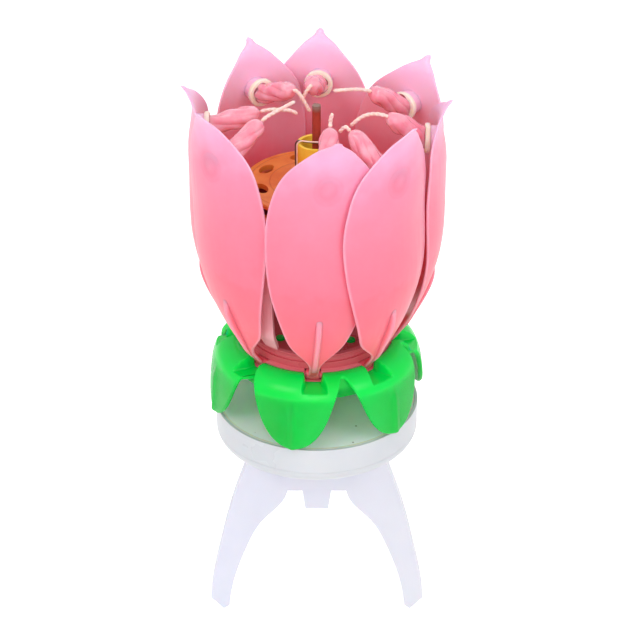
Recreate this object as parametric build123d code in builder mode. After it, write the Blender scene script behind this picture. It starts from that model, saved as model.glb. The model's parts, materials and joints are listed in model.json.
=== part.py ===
from build123d import *
import os
from math import acos, asin, cos, degrees, hypot, pi, radians, sin, sqrt, tan

# A closed flower candle: a round drum on a cake fork, a leafy calyx that turns on it and eight hinged
# petals round a pod with a fountain tube. Millimetres, +Z up, the front is -Y. The origin is on the
# centre line at the height of the fork's tips. Azimuths run from the front towards +X.

# Running fits and gaps
running_gap = 0.08
seat_gap = 0.05
slide_gap = 0.1
moving_gap = 0.4
overrun = 2.0

# Cake fork, its outline as shares of the half spread and of the height
fork_height = 51.0
fork_half_spread = 25.9
blade_half_thickness = 1.7
web_half_thickness = 3.2
web_half_width = 8.0
web_lift = 1.5
crown_drop = 16.3
crown_half_share = 0.27
tang_length = 5.2
tang_top_width = 6.9
tang_end_width = 5.5
tang_half_thickness = 1.5
fork_peg_radius = 2.9
fork_peg_height = 1.9
leg_outer_shares = [(0.98, 0.157), (0.896, 0.373), (0.785, 0.608), (0.66, 0.804), (0.52, 1.0)]
leg_inner_shares = [(0.784, 0.157), (0.645, 0.373), (0.505, 0.51), (0.30, 0.635)]
leg_heel_shares = (1.0, 0.065)
leg_tip_shares = (0.88, 0.0)
leg_toe_shares = (0.826, 0.02)

# Drum, with its margin round the hinges
drum_margin = 7.4
drum_height = 9.2
drum_wall = 1.3
drum_floor = 1.2
drum_edge_round = 3.0
lid_edge_thickness = 1.2
lid_ledge = 0.65
lid_crown = 0.5
lid_crown_share = 0.75
lid_collar_height = 1.4
lid_collar_wall = 1.5
boss_radius = 4.6
boss_height = 4.0
socket_roof = 0.4

# Turning parts on the drum's centre line: heights above the drum, the hub's floor and the boss
hub_lift = 12.2
hub_floor = 1.9
hub_ring_width = 2.9
hub_boss_wall = 2.2
hub_boss_length = 7.9
pocket_floor = 0.3
spindle_radius = 1.0
spindle_drop = 0.2
sleeve_radius = 2.4
sleeve_grip = 5.5

# Gear train, stub teeth at 25 degrees
gear_module = 0.5
pressure_angle = 25.0
tooth_backlash = 0.12
tip_share = 0.7
root_share = 0.95
flank_shares = (0.0, 0.5, 1.0)
pinion_teeth = 8
idler_wheel_teeth = 22
idler_pinion_teeth = 9
drive_teeth = 34
gear_thickness = 1.0
gear_step = 0.1
idler_direction = 35.0
motor_turn = 62.0

# Things in the drum
motor_radius = 5.0
motor_height = 4.2
motor_collar_radius = 1.6
motor_collar_height = 0.15
motor_shaft_radius = 0.5
idler_pin_radius = 0.6
idler_post_radius = 1.5
cell_radius = 3.95
cell_height = 3.6
cell_count = 3
cell_wall_gap = 0.85
cell_direction = 165.0
cell_gap = 0.45
contact_thickness = 0.2
contact_width = 4.0
sound_disc_radius = 6.5
sound_disc_thickness = 0.45
sound_wall_gap = 1.7
ceramic_radius = 4.5
sound_direction = -25.0
board_length = 15.0
board_width = 7.0
board_thickness = 0.8
board_wall_gap = 4.1
board_direction = 262.0
board_lift = 2.2
post_radius = 1.0
chip_radius = 2.0
chip_height = 0.9
chip_taper = 30.0
coil_radius = 1.5
coil_height = 1.6

# Calyx: the rim's shoulder in steps out and down from the rim, the skirt and notches as shares
rim_lip_height = 0.1
rim_lip_width = 0.8
rim_inner_drop = 0.5
rim_shoulder_steps = [(1.5, 0.35), (3.1, 1.4), (4.15, 3.3)]
inset_drop_share = 0.6
skirt_shares = [(0.4, 0.55), (0.68, 0.25)]
calyx_wall = 1.1
calyx_ring_width = 3.6
calyx_ring_height = 2.1
calyx_floor = 1.4
tip_overhang = 0.75
tip_lift = 0.55
lobe_count = 6
lobe_azimuth = -13.0
notch_drop = 1.6
notch_bite = 0.8
notch_shares = [(1.0, -0.02), (0.79, 0.085), (0.53, 0.26), (0.31, 0.56), (0.14, 0.9)]
stake_radius = 1.0
stake_orbit = 9.25
stake_azimuth = -63.0
stake_count = 3
stake_proud = 0.6
groove_half_width = 1.55
groove_sink = 1.25
groove_turn_share = 0.65

# Petals and their hinges
petal_count = 8
petal_azimuth = -3.0
hinge_radius = 16.1
petal_length = 64.3
petal_bulge = 12.3
petal_overlap = 0.36
petal_wall = 0.8
petal_curve_radius = 19.5
petal_edge_share = 0.6
knuckle_radius = 1.1
knuckle_half_width = 1.5
trunnion_radius = 0.8
trunnion_half_width = 3.2
pocket_half_width = 1.9
keel_half_width = 0.8
keel_top_share = 0.7
keel_height = 1.0
keel_root = 0.4

# Height, bulge, half width and wall of the petal at its stations, as shares of the sizes above
petal_station_shares = [
    (0.0, 0.089, 0.087, 1.9),
    (0.033, 0.228, 0.095, 1.9),
    (0.072, 0.358, 0.115, 1.75),
    (0.110, 0.445, 0.243, 1.6),
    (0.157, 0.550, 0.452, 1.35),
    (0.213, 0.675, 0.588, 1.2),
    (0.297, 0.830, 0.735, 1.05),
    (0.406, 0.960, 0.893, 1.0),
    (0.515, 1.0, 0.978, 1.0),
    (0.624, 1.0, 1.0, 1.0),
    (0.701, 1.0, 0.983, 1.0),
    (0.764, 0.988, 0.938, 1.0),
    (0.826, 0.943, 0.842, 1.0),
    (0.880, 0.900, 0.672, 1.0),
    (0.928, 0.886, 0.441, 1.0),
    (0.966, 0.935, 0.220, 1.0),
    (0.983, 0.984, 0.096, 0.95),
    (1.0, 1.049, 0.068, 0.9),
]

# The keel's height above the petal at its stations, as shares of the petal's length and the keel's height
keel_station_shares = [
    (0.033, 0.1),
    (0.072, 0.6),
    (0.110, 0.9),
    (0.157, 1.0),
    (0.213, 1.0),
    (0.270, 0.8),
    (0.312, 0.0),
]

# Each petal's turn about its stem, its lean along the bud and its own opening, in degrees, from the
# front towards +X
petal_skews = [7.9, 1.0, 1.9, 10.4, -6.7, -9.5, 1.8, 0.6]
petal_leans = [1.9, -5.3, 0.1, -3.9, 2.0, -4.0, -4.5, -1.4]
petal_openings = [1.3, 2.2, 0.3, -0.9, 1.8, -0.3, 0.3, 0.6]

# How far each petal's tip sweeps to its side, from the share of its height where the sweep starts
petal_sweeps = [2.4, 5.6, -8.7, -4.0, 0.0, 1.6, 9.6, -3.9]
sweep_start_share = 0.6

# Candles on the petals
candle_station_share = 0.817
candle_standoff = 3.6
stud_radius = 2.8
stud_root_share = 0.3
seat_rim_width = 0.9
seat_thickness = 1.2
spigot_radius = 1.8
spigot_length = 1.0
candle_radius = 2.4
candle_flute_depth = 0.3
candle_flutes = 5
candle_twist = 26.0
candle_root = 3.2
wick_radius = 0.45
wick_root = 1.3
bend_share = 0.45

# Place along the candle and radius at its stations, as shares of its length and radius
candle_station_shares = [(0.0, 1.0), (0.25, 1.0), (0.5, 0.98), (0.72, 0.94), (0.87, 0.8), (1.0, 0.48)]

# Sideways turn and rise of each candle in degrees, its length, and its wick's points from its end
candle_turns = [8.0, -6.3, -32.4, 13.6, -3.0, -5.4, -9.5, -2.6]
candle_rises = [43.5, 37.7, 36.8, 35.1, 21.5, 22.6, 13.9, 26.0]
candle_lengths = [12.1, 12.0, 12.1, 11.5, 12.4, 11.9, 11.5, 12.1]
wick_routes = [
    [(0.1, 0.2, 2.0), (0.5, 0.1, 3.3)],
    [(-1.5, 1.0, 0.3), (-2.3, 1.3, -0.9)],
    [(-3.6, 0.5, 0.6), (-6.2, 0.5, -0.4), (-8.0, 0.4, -2.3)],
    [(-3.8, -0.3, 0.8), (-8.4, -0.2, 0.3)],
    [(-1.2, -1.2, -0.9), (-2.3, -0.9, -3.2)],
    [(2.2, -1.6, -1.4), (3.7, -1.4, -4.6)],
    [(3.6, 0.2, 0.5), (7.6, 0.3, 0.1), (8.2, 0.2, -0.8)],
    [(3.3, 2.0, 1.5), (7.2, 4.9, 2.5)],
]

# Inner cup: its wall as shares of the flare and of the wall's rise
cup_inset = 0.1
cup_step_width = 0.5
cup_step_height = 1.5
cup_ring_height = 3.4
cup_shoulder_share = 0.7
cup_floor = 0.9
cup_wall = 1.0
cup_height = 26.0
cup_flare = 4.8
cup_wall_shares = [(0.39, 0.14), (0.62, 0.21), (0.82, 0.42), (0.94, 0.65), (1.0, 1.0)]
window_count = 8
window_azimuth = -16.5
window_half_width = 4.5
window_height = 19.5

# Pod, with heights above the hub's floor and below the plate
pod_radius = 16.4
pod_height = 40.7
pod_plate_thickness = 1.2
pod_rim_gap = 1.8
pod_wall = 1.0
pod_cone_depth = 22.0
pod_root_height = 3.0
pod_stalk_wall = 0.85
pod_collar_wall = 0.95
pod_hole_count = 8
pod_hole_orbit = 12.7
pod_hole_length = 4.8
pod_hole_width = 2.9
pod_hole_azimuth = 17.0
pod_step_radius = 8.3
pod_step_height = 0.5

# Fountain, with its tube's height above the pod plate
tube_radius = 4.25
tube_wall = 0.7
tube_rise = 10.7
tube_length = 27.7
core_recess = 4.6
fuse_radius = 0.95
fuse_rise = 8.9
fuse_depth = 12.0
wire_radius = 0.22
wire_end_share = 0.85
thread_radius = 0.15
thread_azimuth = -72.0
thread_end_azimuth = 52.0
thread_orbit_share = 0.58
thread_arch = 1.1

# Heights and radii worked out from the sizes above
drum_radius = hinge_radius + drum_margin
drum_base = fork_height
drum_top = drum_base + drum_height
drum_bore_radius = drum_radius - drum_wall
floor_top = drum_base + drum_floor
boss_top = floor_top + boss_height
socket_top = drum_base + fork_peg_height + slide_gap
lid_radius = drum_bore_radius + lid_ledge - slide_gap
lid_base = drum_top - lid_edge_thickness
crown_height = fork_height - crown_drop
hub_floor_height = drum_top + hub_lift
hub_floor_top = hub_floor_height + hub_floor
hub_boss_base = hub_floor_height - hub_boss_length
hub_boss_radius = sleeve_radius + hub_boss_wall
hub_radius = hinge_radius + knuckle_radius
pocket_radius = knuckle_radius + moving_gap / 2
hinge_height = hub_floor_top + pocket_floor + pocket_radius
hub_top = hinge_height + pocket_radius
spindle_base = socket_top + socket_roof
spindle_top = hub_floor_height - spindle_drop
sleeve_base = boss_top + seat_gap
sleeve_top = hub_boss_base + sleeve_grip
wheel_base = floor_top + motor_height + motor_collar_height + moving_gap / 2
drive_base = wheel_base + gear_thickness + gear_step
cell_orbit = drum_bore_radius - cell_wall_gap - cell_radius
sound_orbit = drum_bore_radius - sound_wall_gap - sound_disc_radius
board_orbit = drum_bore_radius - board_wall_gap - board_width / 2
calyx_bore_radius = hub_radius + moving_gap / 2
calyx_rim_radius = calyx_bore_radius + rim_lip_width
calyx_rim_height = hub_top + rim_lip_height
calyx_ring_radius = calyx_bore_radius + calyx_ring_width
calyx_floor_base = hub_floor_height - slide_gap - calyx_floor
calyx_ring_base = calyx_floor_base + calyx_ring_height
calyx_tip_radius = drum_radius + tip_overhang
calyx_tip_height = drum_top + tip_lift
notch_top = calyx_rim_height - notch_drop
notch_start_radius = calyx_ring_radius - notch_bite
groove_floor_height = hinge_height - groove_sink
petal_half_width = (hinge_radius + petal_bulge) * tan(pi / petal_count) + petal_overlap
seat_bore_radius = spigot_radius + slide_gap
seat_radius = candle_radius + seat_rim_width
cup_base = hub_top
cup_radius = hinge_radius - cup_inset
cup_step_radius = cup_radius - cup_step_width
cup_top_radius = cup_step_radius + cup_flare
stalk_bore_radius = tube_radius + slide_gap
pod_stalk_radius = stalk_bore_radius + pod_stalk_wall
cup_bore_radius = pod_stalk_radius + slide_gap
pod_plate_height = hub_floor_top + pod_height
pod_rim_height = pod_plate_height - pod_rim_gap
pod_neck_height = pod_plate_height - pod_cone_depth
tube_top = pod_plate_height + tube_rise
tube_foot = tube_top - tube_length
core_top = tube_top - core_recess
fuse_top = tube_top + fuse_rise


def compass(radius, azimuth, height=0.0):
    """The point at a radius and azimuth, counted from the front towards +X."""
    turn = radians(azimuth)
    return Vector(radius * sin(turn), -radius * cos(turn), height)


def radial_plane(azimuth, radius=0.0, height=0.0):
    """An upright plane facing outwards at an azimuth, with X along the tangent and Y up."""
    return Plane(
        origin=compass(radius, azimuth, height),
        x_dir=compass(1.0, azimuth + 90.0),
        z_dir=compass(1.0, azimuth),
    )


def petal_frame(azimuth, skew, lean, opening):
    """A petal's own frame at its hinge: X outwards, Y along the tangent, Z up the petal."""
    directions = []
    for direction in (Vector(1, 0, 0), Vector(0, 0, 1)):
        skewed = direction.rotate(Axis.Z, skew)
        leaned = skewed.rotate(Axis.X, -lean)
        opened = leaned.rotate(Axis.Y, opening)
        directions.append(opened.rotate(Axis.Z, azimuth - 90.0))
    return Plane(
        origin=compass(hinge_radius, azimuth, hinge_height),
        x_dir=directions[0],
        z_dir=directions[1],
    )


def corner_radii(points):
    """The fillet radius at each inner corner of a route, from its runs and its turn."""
    radii = []
    for before, corner, after in zip(points, points[1:], points[2:]):
        first_run = corner - before
        second_run = after - corner
        half_turn = radians(first_run.get_angle(second_run)) / 2
        shorter = min(first_run.length, second_run.length)
        radii.append(bend_share * shorter / tan(half_turn))
    return radii


def round_rod(points, radius):
    """A round rod along straight runs joined by tangent arcs."""
    with BuildPart() as rod:
        with BuildLine() as route:
            FilletPolyline(*points, radius=corner_radii(points))
        with BuildSketch(Plane(origin=points[0], z_dir=points[1] - points[0])):
            Circle(radius)
        sweep(path=route.line)
    return rod.part


def gear_outline(teeth, turn=0.0):
    """The corner points of a stub-toothed involute gear, its first tooth at the given angle."""
    pitch_radius = gear_module * teeth / 2
    base_radius = pitch_radius * cos(radians(pressure_angle))
    tip_radius = pitch_radius + tip_share * gear_module
    root_radius = pitch_radius - root_share * gear_module
    start_radius = max(base_radius, root_radius)

    def flank_angle(radius):
        roll = acos(min(1.0, base_radius / radius))
        return tan(roll) - roll

    half_tooth = (pi * gear_module / 2 - tooth_backlash) / (2 * pitch_radius) + flank_angle(pitch_radius)
    points = []
    for tooth in range(teeth):
        middle = radians(turn) + 2 * pi * tooth / teeth
        flank = []
        for share in flank_shares:
            radius = start_radius + share * (tip_radius - start_radius)
            flank.append((radius, half_tooth - flank_angle(radius)))
        rising = [(root_radius, -half_tooth)] + [(radius, -angle) for radius, angle in flank]
        falling = [(radius, angle) for radius, angle in reversed(flank)] + [(root_radius, half_tooth)]
        for radius, angle in rising + falling:
            point = polar(radius, degrees(middle + angle))
            last = points[-1] if points else (0.0, 0.0)
            if hypot(last[0] - point[0], last[1] - point[1]) > tooth_backlash / 100:
                points.append(point)
    return points


def polar(radius, direction):
    """A plan point at a radius and a direction counted from +X."""
    return (radius * cos(radians(direction)), radius * sin(radians(direction)))


os.makedirs("parts", exist_ok=True)


def keep(part, name):
    """Label a finished piece and write it to its file."""
    part.label = name
    export_step(part, f"parts/{name}.step")


def fork_point(shares, side):
    """A point of the fork's outline from its shares of the half spread and height."""
    return (side * shares[0] * fork_half_spread, shares[1] * fork_height)


# Cake fork: two blade legs, a thicker web between them, a centre tang and a peg for the drum
with BuildPart() as stand:
    with BuildSketch(Plane.XZ):
        with BuildLine():
            for side in (1, -1):
                outer = [fork_point(shares, side) for shares in leg_outer_shares]
                inner = [fork_point(shares, side) for shares in leg_inner_shares]
                heel = fork_point(leg_heel_shares, side)
                tip = fork_point(leg_tip_shares, side)
                toe = fork_point(leg_toe_shares, side)
                crown = (side * crown_half_share * fork_half_spread, crown_height)
                Spline(heel, *outer)
                Polyline(heel, tip, toe)
                Spline(toe, *inner, crown)
            Line((-crown[0] * side, crown_height), (crown[0] * side, crown_height))
            Line(fork_point(leg_outer_shares[-1], 1), fork_point(leg_outer_shares[-1], -1))
        make_face()
    extrude(amount=blade_half_thickness, both=True)
    web_base = crown_height + web_lift
    with BuildSketch(Plane.XZ.offset(-web_half_thickness)):
        with Locations((0, (web_base + fork_height) / 2)):
            RectangleRounded(2 * web_half_width, fork_height - web_base, web_lift)
    extrude(amount=2 * web_half_thickness)
    with BuildSketch(Plane.XZ):
        with BuildLine():
            Polyline(
                (-tang_top_width / 2, crown_height + web_lift),
                (-tang_top_width / 2, crown_height),
                (-tang_end_width / 2, crown_height - tang_length),
                (tang_end_width / 2, crown_height - tang_length),
                (tang_top_width / 2, crown_height),
                (tang_top_width / 2, crown_height + web_lift),
                close=True,
            )
        make_face()
    extrude(amount=tang_half_thickness, both=True)
    with BuildSketch(Plane.XY.offset(fork_height)):
        Circle(fork_peg_radius)
    extrude(amount=fork_peg_height)
keep(stand.part, "stand")

# Drum cup: rounded lower edge, ledge for the lid, centre boss, posts for the idler and the board
idler_distance = gear_module * (drive_teeth + idler_pinion_teeth) / 2
pinion_distance = gear_module * (idler_wheel_teeth + pinion_teeth) / 2
idler_place = polar(idler_distance, idler_direction)
motor_place = (
    idler_place[0] + polar(pinion_distance, idler_direction + motor_turn)[0],
    idler_place[1] + polar(pinion_distance, idler_direction + motor_turn)[1],
)
board_post_places = [
    (along * (board_length / 2 - 2 * post_radius), 0) for along in (-1, 1)
]
board_plane = Plane(origin=(*polar(board_orbit, board_direction), floor_top),
                    x_dir=(*polar(1.0, board_direction + 90.0), 0))
with BuildPart() as base_cup:
    with BuildSketch(Plane.XZ):
        with BuildLine():
            Line((0, drum_base), (drum_radius - drum_edge_round, drum_base))
            RadiusArc(
                (drum_radius - drum_edge_round, drum_base),
                (drum_radius, drum_base + drum_edge_round),
                -drum_edge_round,
            )
            Polyline(
                (drum_radius, drum_base + drum_edge_round),
                (drum_radius, drum_top),
                (drum_bore_radius + lid_ledge, drum_top),
                (drum_bore_radius + lid_ledge, lid_base),
                (drum_bore_radius, lid_base),
                (drum_bore_radius, floor_top + drum_edge_round - drum_wall),
            )
            RadiusArc(
                (drum_bore_radius, floor_top + drum_edge_round - drum_wall),
                (drum_bore_radius - drum_edge_round + drum_wall, floor_top),
                drum_edge_round - drum_wall,
            )
            Polyline(
                (drum_bore_radius - drum_edge_round + drum_wall, floor_top),
                (0, floor_top),
                (0, drum_base),
            )
        make_face()
    revolve(axis=Axis.Z)
    with BuildSketch(Plane.XY.offset(floor_top)):
        Circle(boss_radius)
    extrude(amount=boss_height)
    with BuildSketch(Plane.XY.offset(floor_top)):
        with Locations(idler_place):
            Circle(idler_post_radius)
    extrude(amount=wheel_base - seat_gap - floor_top)
    with BuildSketch(board_plane):
        with Locations(*board_post_places):
            Circle(post_radius)
    extrude(amount=board_lift)
    with BuildSketch(Plane.XY.offset(drum_base)):
        Circle(fork_peg_radius + slide_gap)
    extrude(amount=socket_top - drum_base, mode=Mode.SUBTRACT)
    with BuildSketch(Plane.XY.offset(spindle_base)):
        Circle(spindle_radius)
    extrude(amount=boss_top - spindle_base, mode=Mode.SUBTRACT)
    with BuildSketch(Plane.XY.offset(floor_top)):
        with Locations(idler_place):
            Circle(idler_pin_radius)
    extrude(amount=wheel_base - floor_top, mode=Mode.SUBTRACT)
keep(base_cup.part, "base_cup")

# Lid: a slightly crowned disc with a collar that the sleeve turns in
collar_radius = sleeve_radius + running_gap
collar_outer = collar_radius + lid_collar_wall
with BuildPart() as base_lid:
    with BuildSketch(Plane.XZ):
        with BuildLine():
            Polyline(
                (collar_radius, lid_base),
                (lid_radius, lid_base),
                (lid_radius, drum_top),
            )
            ThreePointArc(
                (lid_radius, drum_top),
                ((lid_radius + collar_outer) / 2, drum_top + lid_crown_share * lid_crown),
                (collar_outer, drum_top + lid_crown),
            )
            Polyline(
                (collar_outer, drum_top + lid_crown),
                (collar_outer, drum_top + lid_crown + lid_collar_height),
                (collar_radius, drum_top + lid_crown + lid_collar_height),
                (collar_radius, lid_base),
            )
        make_face()
    revolve(axis=Axis.Z)
keep(base_lid.part, "base_lid")

# Steel spindle, fixed in the drum's boss, that carries the flower
with BuildPart() as spindle:
    with BuildSketch(Plane.XY.offset(spindle_base)):
        Circle(spindle_radius)
    extrude(amount=spindle_top - spindle_base)
    chamfer(spindle.faces().sort_by(Axis.Z)[-1].edges(), spindle_radius / 4)
keep(spindle.part, "spindle")

# Gears: the drive gear with its sleeve, the stepped idler and the motor's pinion, all in mesh at rest
drive_phase = idler_direction
idler_pinion_phase = idler_direction + 180.0 + 180.0 / idler_pinion_teeth
wheel_phase = idler_direction + motor_turn
pinion_phase = wheel_phase + 180.0 + 180.0 / pinion_teeth
with BuildPart() as drive_gear:
    with BuildSketch(Plane.XY.offset(drive_base)):
        Polygon(*gear_outline(drive_teeth, drive_phase), align=None)
    extrude(amount=gear_thickness)
    with BuildSketch(Plane.XY.offset(sleeve_base)):
        Circle(sleeve_radius)
    extrude(amount=sleeve_top - sleeve_base)
    with BuildSketch(Plane.XY.offset(sleeve_base)):
        Circle(spindle_radius + running_gap)
    extrude(amount=sleeve_top - sleeve_base, mode=Mode.SUBTRACT)
keep(drive_gear.part, "drive_gear")

with BuildPart() as idler_gear:
    with BuildSketch(Plane.XY.offset(wheel_base)):
        with Locations(idler_place):
            Polygon(*gear_outline(idler_wheel_teeth, wheel_phase), align=None)
    extrude(amount=gear_thickness)
    with BuildSketch(Plane.XY.offset(wheel_base + gear_thickness)):
        with Locations(idler_place):
            Polygon(*gear_outline(idler_pinion_teeth, idler_pinion_phase), align=None)
    extrude(amount=gear_thickness + gear_step)
    with BuildSketch(Plane.XY.offset(wheel_base)):
        with Locations(idler_place):
            Circle(idler_pin_radius + running_gap)
    extrude(amount=2 * gear_thickness + gear_step, mode=Mode.SUBTRACT)
keep(idler_gear.part, "idler_gear")

with BuildPart() as idler_pin:
    with BuildSketch(Plane.XY.offset(floor_top)):
        with Locations(idler_place):
            Circle(idler_pin_radius)
    extrude(amount=drive_base + gear_thickness + gear_step - floor_top)
keep(idler_pin.part, "idler_pin")

with BuildPart() as motor:
    with BuildSketch(Plane.XY.offset(floor_top)):
        with Locations(motor_place):
            Circle(motor_radius)
    extrude(amount=motor_height)
    with BuildSketch(Plane.XY.offset(floor_top + motor_height)):
        with Locations(motor_place):
            Circle(motor_collar_radius)
            Circle(motor_shaft_radius + running_gap, mode=Mode.SUBTRACT)
    extrude(amount=motor_collar_height)
    with BuildSketch(Plane.XY.offset(floor_top + motor_height / 2)):
        with Locations(motor_place):
            Circle(motor_shaft_radius + running_gap)
    extrude(amount=motor_height / 2, mode=Mode.SUBTRACT)
keep(motor.part, "motor")

with BuildPart() as motor_pinion:
    with BuildSketch(Plane.XY.offset(wheel_base)):
        with Locations(motor_place):
            Polygon(*gear_outline(pinion_teeth, pinion_phase), align=None)
    extrude(amount=gear_thickness)
    with BuildSketch(Plane.XY.offset(floor_top + motor_height / 2 + seat_gap)):
        with Locations(motor_place):
            Circle(motor_shaft_radius)
    extrude(amount=wheel_base - floor_top - motor_height / 2)
keep(motor_pinion.part, "motor_pinion")

# Button cells in a row along the drum wall, with a contact strip under and over them
cell_step = degrees(2 * asin((2 * cell_radius + cell_gap) / (2 * cell_orbit)))
cell_places = [polar(cell_orbit, cell_direction + (index - (cell_count - 1) / 2) * cell_step)
               for index in range(cell_count)]
cell_base = floor_top + contact_thickness
for number, place in enumerate(cell_places, 1):
    with BuildPart() as button_cell:
        with BuildSketch(Plane.XY.offset(cell_base)):
            with Locations(place):
                Circle(cell_radius)
        extrude(amount=cell_height)
        fillet(button_cell.edges().filter_by(GeomType.CIRCLE), cell_gap)
    keep(button_cell.part, f"button_cell_{number}")

contact_reach = (cell_count - 1) / 2 * cell_step
for place, level in (("lower", floor_top), ("upper", cell_base + cell_height)):
    with BuildPart() as contact:
        with BuildSketch(Plane.XY.offset(level)):
            with BuildLine():
                for edge in (cell_orbit - contact_width / 2, cell_orbit + contact_width / 2):
                    CenterArc((0, 0), edge, cell_direction - contact_reach, 2 * contact_reach)
                for end in (cell_direction - contact_reach, cell_direction + contact_reach):
                    Line(
                        polar(cell_orbit - contact_width / 2, end),
                        polar(cell_orbit + contact_width / 2, end),
                    )
            make_face()
        extrude(amount=contact_thickness)
    keep(contact.part, f"battery_contact_{place}")

# Sound disc: a brass plate with its ceramic, on the drum's floor
with BuildPart() as sound_disc:
    with BuildSketch(Plane.XY.offset(floor_top)):
        with Locations(polar(sound_orbit, sound_direction)):
            Circle(sound_disc_radius)
    extrude(amount=sound_disc_thickness)
    with BuildSketch(Plane.XY.offset(floor_top + sound_disc_thickness)):
        with Locations(polar(sound_orbit, sound_direction)):
            Circle(ceramic_radius)
    extrude(amount=sound_disc_thickness / 2)
keep(sound_disc.part, "sound_disc")

# Circuit board on its posts, with the tune chip under its blob and a coil
with BuildPart() as circuit_board:
    with BuildSketch(board_plane.offset(board_lift)):
        Rectangle(board_length, board_width)
    extrude(amount=board_thickness)
    with BuildSketch(board_plane.offset(board_lift + board_thickness)):
        with Locations((-board_length / 5, 0)):
            Circle(chip_radius)
    extrude(amount=chip_height, taper=chip_taper)
    with BuildSketch(board_plane.offset(board_lift + board_thickness)):
        with Locations((board_length / 4, 0)):
            Circle(coil_radius)
    extrude(amount=coil_height)
keep(circuit_board.part, "circuit_board")

# Calyx: a skirt with six leaf lobes, a thick rim with a groove that each petal's stem opens into, a
# floor and stakes
shoulder_radius = calyx_rim_radius + rim_shoulder_steps[-1][0]
shoulder_height = calyx_rim_height - rim_shoulder_steps[-1][1]
tip_drop = shoulder_height - calyx_tip_height
tip_flare = calyx_tip_radius - shoulder_radius


def skirt_points(inset):
    """The skirt's profile from the rim to the lobe tips, moved in by an inset."""
    points = [(calyx_rim_radius + step - inset, calyx_rim_height - drop - inset_drop_share * inset)
              for step, drop in rim_shoulder_steps]
    for flare_share, height_share in skirt_shares:
        points.append((shoulder_radius + flare_share * tip_flare - inset,
                       calyx_tip_height + height_share * tip_drop))
    points.append((calyx_tip_radius - inset, calyx_tip_height))
    return points


notch_height = notch_top - calyx_tip_height
half_gap = calyx_tip_radius * sin(pi / lobe_count) - seat_gap
with BuildPart() as calyx:
    with BuildSketch(Plane.XZ):
        with BuildLine():
            outer = [(calyx_rim_radius, calyx_rim_height)] + skirt_points(0.0)
            inner = skirt_points(calyx_wall)[2:]
            Polyline(
                (calyx_ring_radius, calyx_ring_base),
                (calyx_bore_radius, calyx_ring_base),
                (calyx_bore_radius, calyx_rim_height - rim_inner_drop),
                outer[0],
            )
            Spline(*outer)
            Line(outer[-1], inner[-1])
            Spline(*reversed(inner))
            Line(inner[0], (calyx_ring_radius, calyx_ring_base))
        make_face()
    revolve(axis=Axis.Z)
    for lobe in range(lobe_count):
        notch_azimuth = lobe_azimuth + (lobe + 0.5) * 360.0 / lobe_count
        with BuildSketch(radial_plane(notch_azimuth, notch_start_radius)):
            with BuildLine():
                right = [(share * half_gap, calyx_tip_height + height_share * notch_height)
                         for share, height_share in notch_shares]
                left = [(-x, y) for x, y in reversed(right)]
                Spline(*right, (0, notch_top), *left)
                Polyline(right[0], (right[0][0], calyx_tip_height - overrun),
                         (-right[0][0], calyx_tip_height - overrun), left[-1])
            make_face()
        extrude(amount=calyx_tip_radius, mode=Mode.SUBTRACT)
    with BuildSketch(Plane.XY.offset(calyx_floor_base)):
        Circle(calyx_ring_radius)
        Circle(hub_boss_radius + slide_gap, mode=Mode.SUBTRACT)
    extrude(amount=calyx_floor)
    with BuildSketch(Plane.XY.offset(calyx_floor_base)):
        Circle(calyx_ring_radius)
        Circle(calyx_bore_radius, mode=Mode.SUBTRACT)
    extrude(amount=calyx_ring_base - calyx_floor_base)
    with BuildSketch(Plane.XY.offset(calyx_floor_base)):
        for stake in range(stake_count):
            with Locations(compass(stake_orbit, stake_azimuth + stake * 360.0 / stake_count)):
                Circle(stake_radius)
    extrude(amount=cup_base + cup_floor + stake_proud - calyx_floor_base)
    for petal in range(petal_count):
        azimuth = petal_azimuth + petal * 360.0 / petal_count
        groove_length = calyx_tip_radius - hinge_radius
        groove_turn = groove_turn_share * (petal_skews[petal] + petal_leans[petal])
        groove_plane = Plane(
            origin=compass(hinge_radius, azimuth, groove_floor_height),
            x_dir=compass(1.0, azimuth + groove_turn),
            z_dir=(0, 0, 1),
        )
        with BuildSketch(groove_plane):
            Rectangle(groove_length, 2 * groove_half_width, align=(Align.MIN, Align.CENTER))
        extrude(amount=calyx_rim_height - groove_floor_height, mode=Mode.SUBTRACT)
keep(calyx.part, "calyx")

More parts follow.
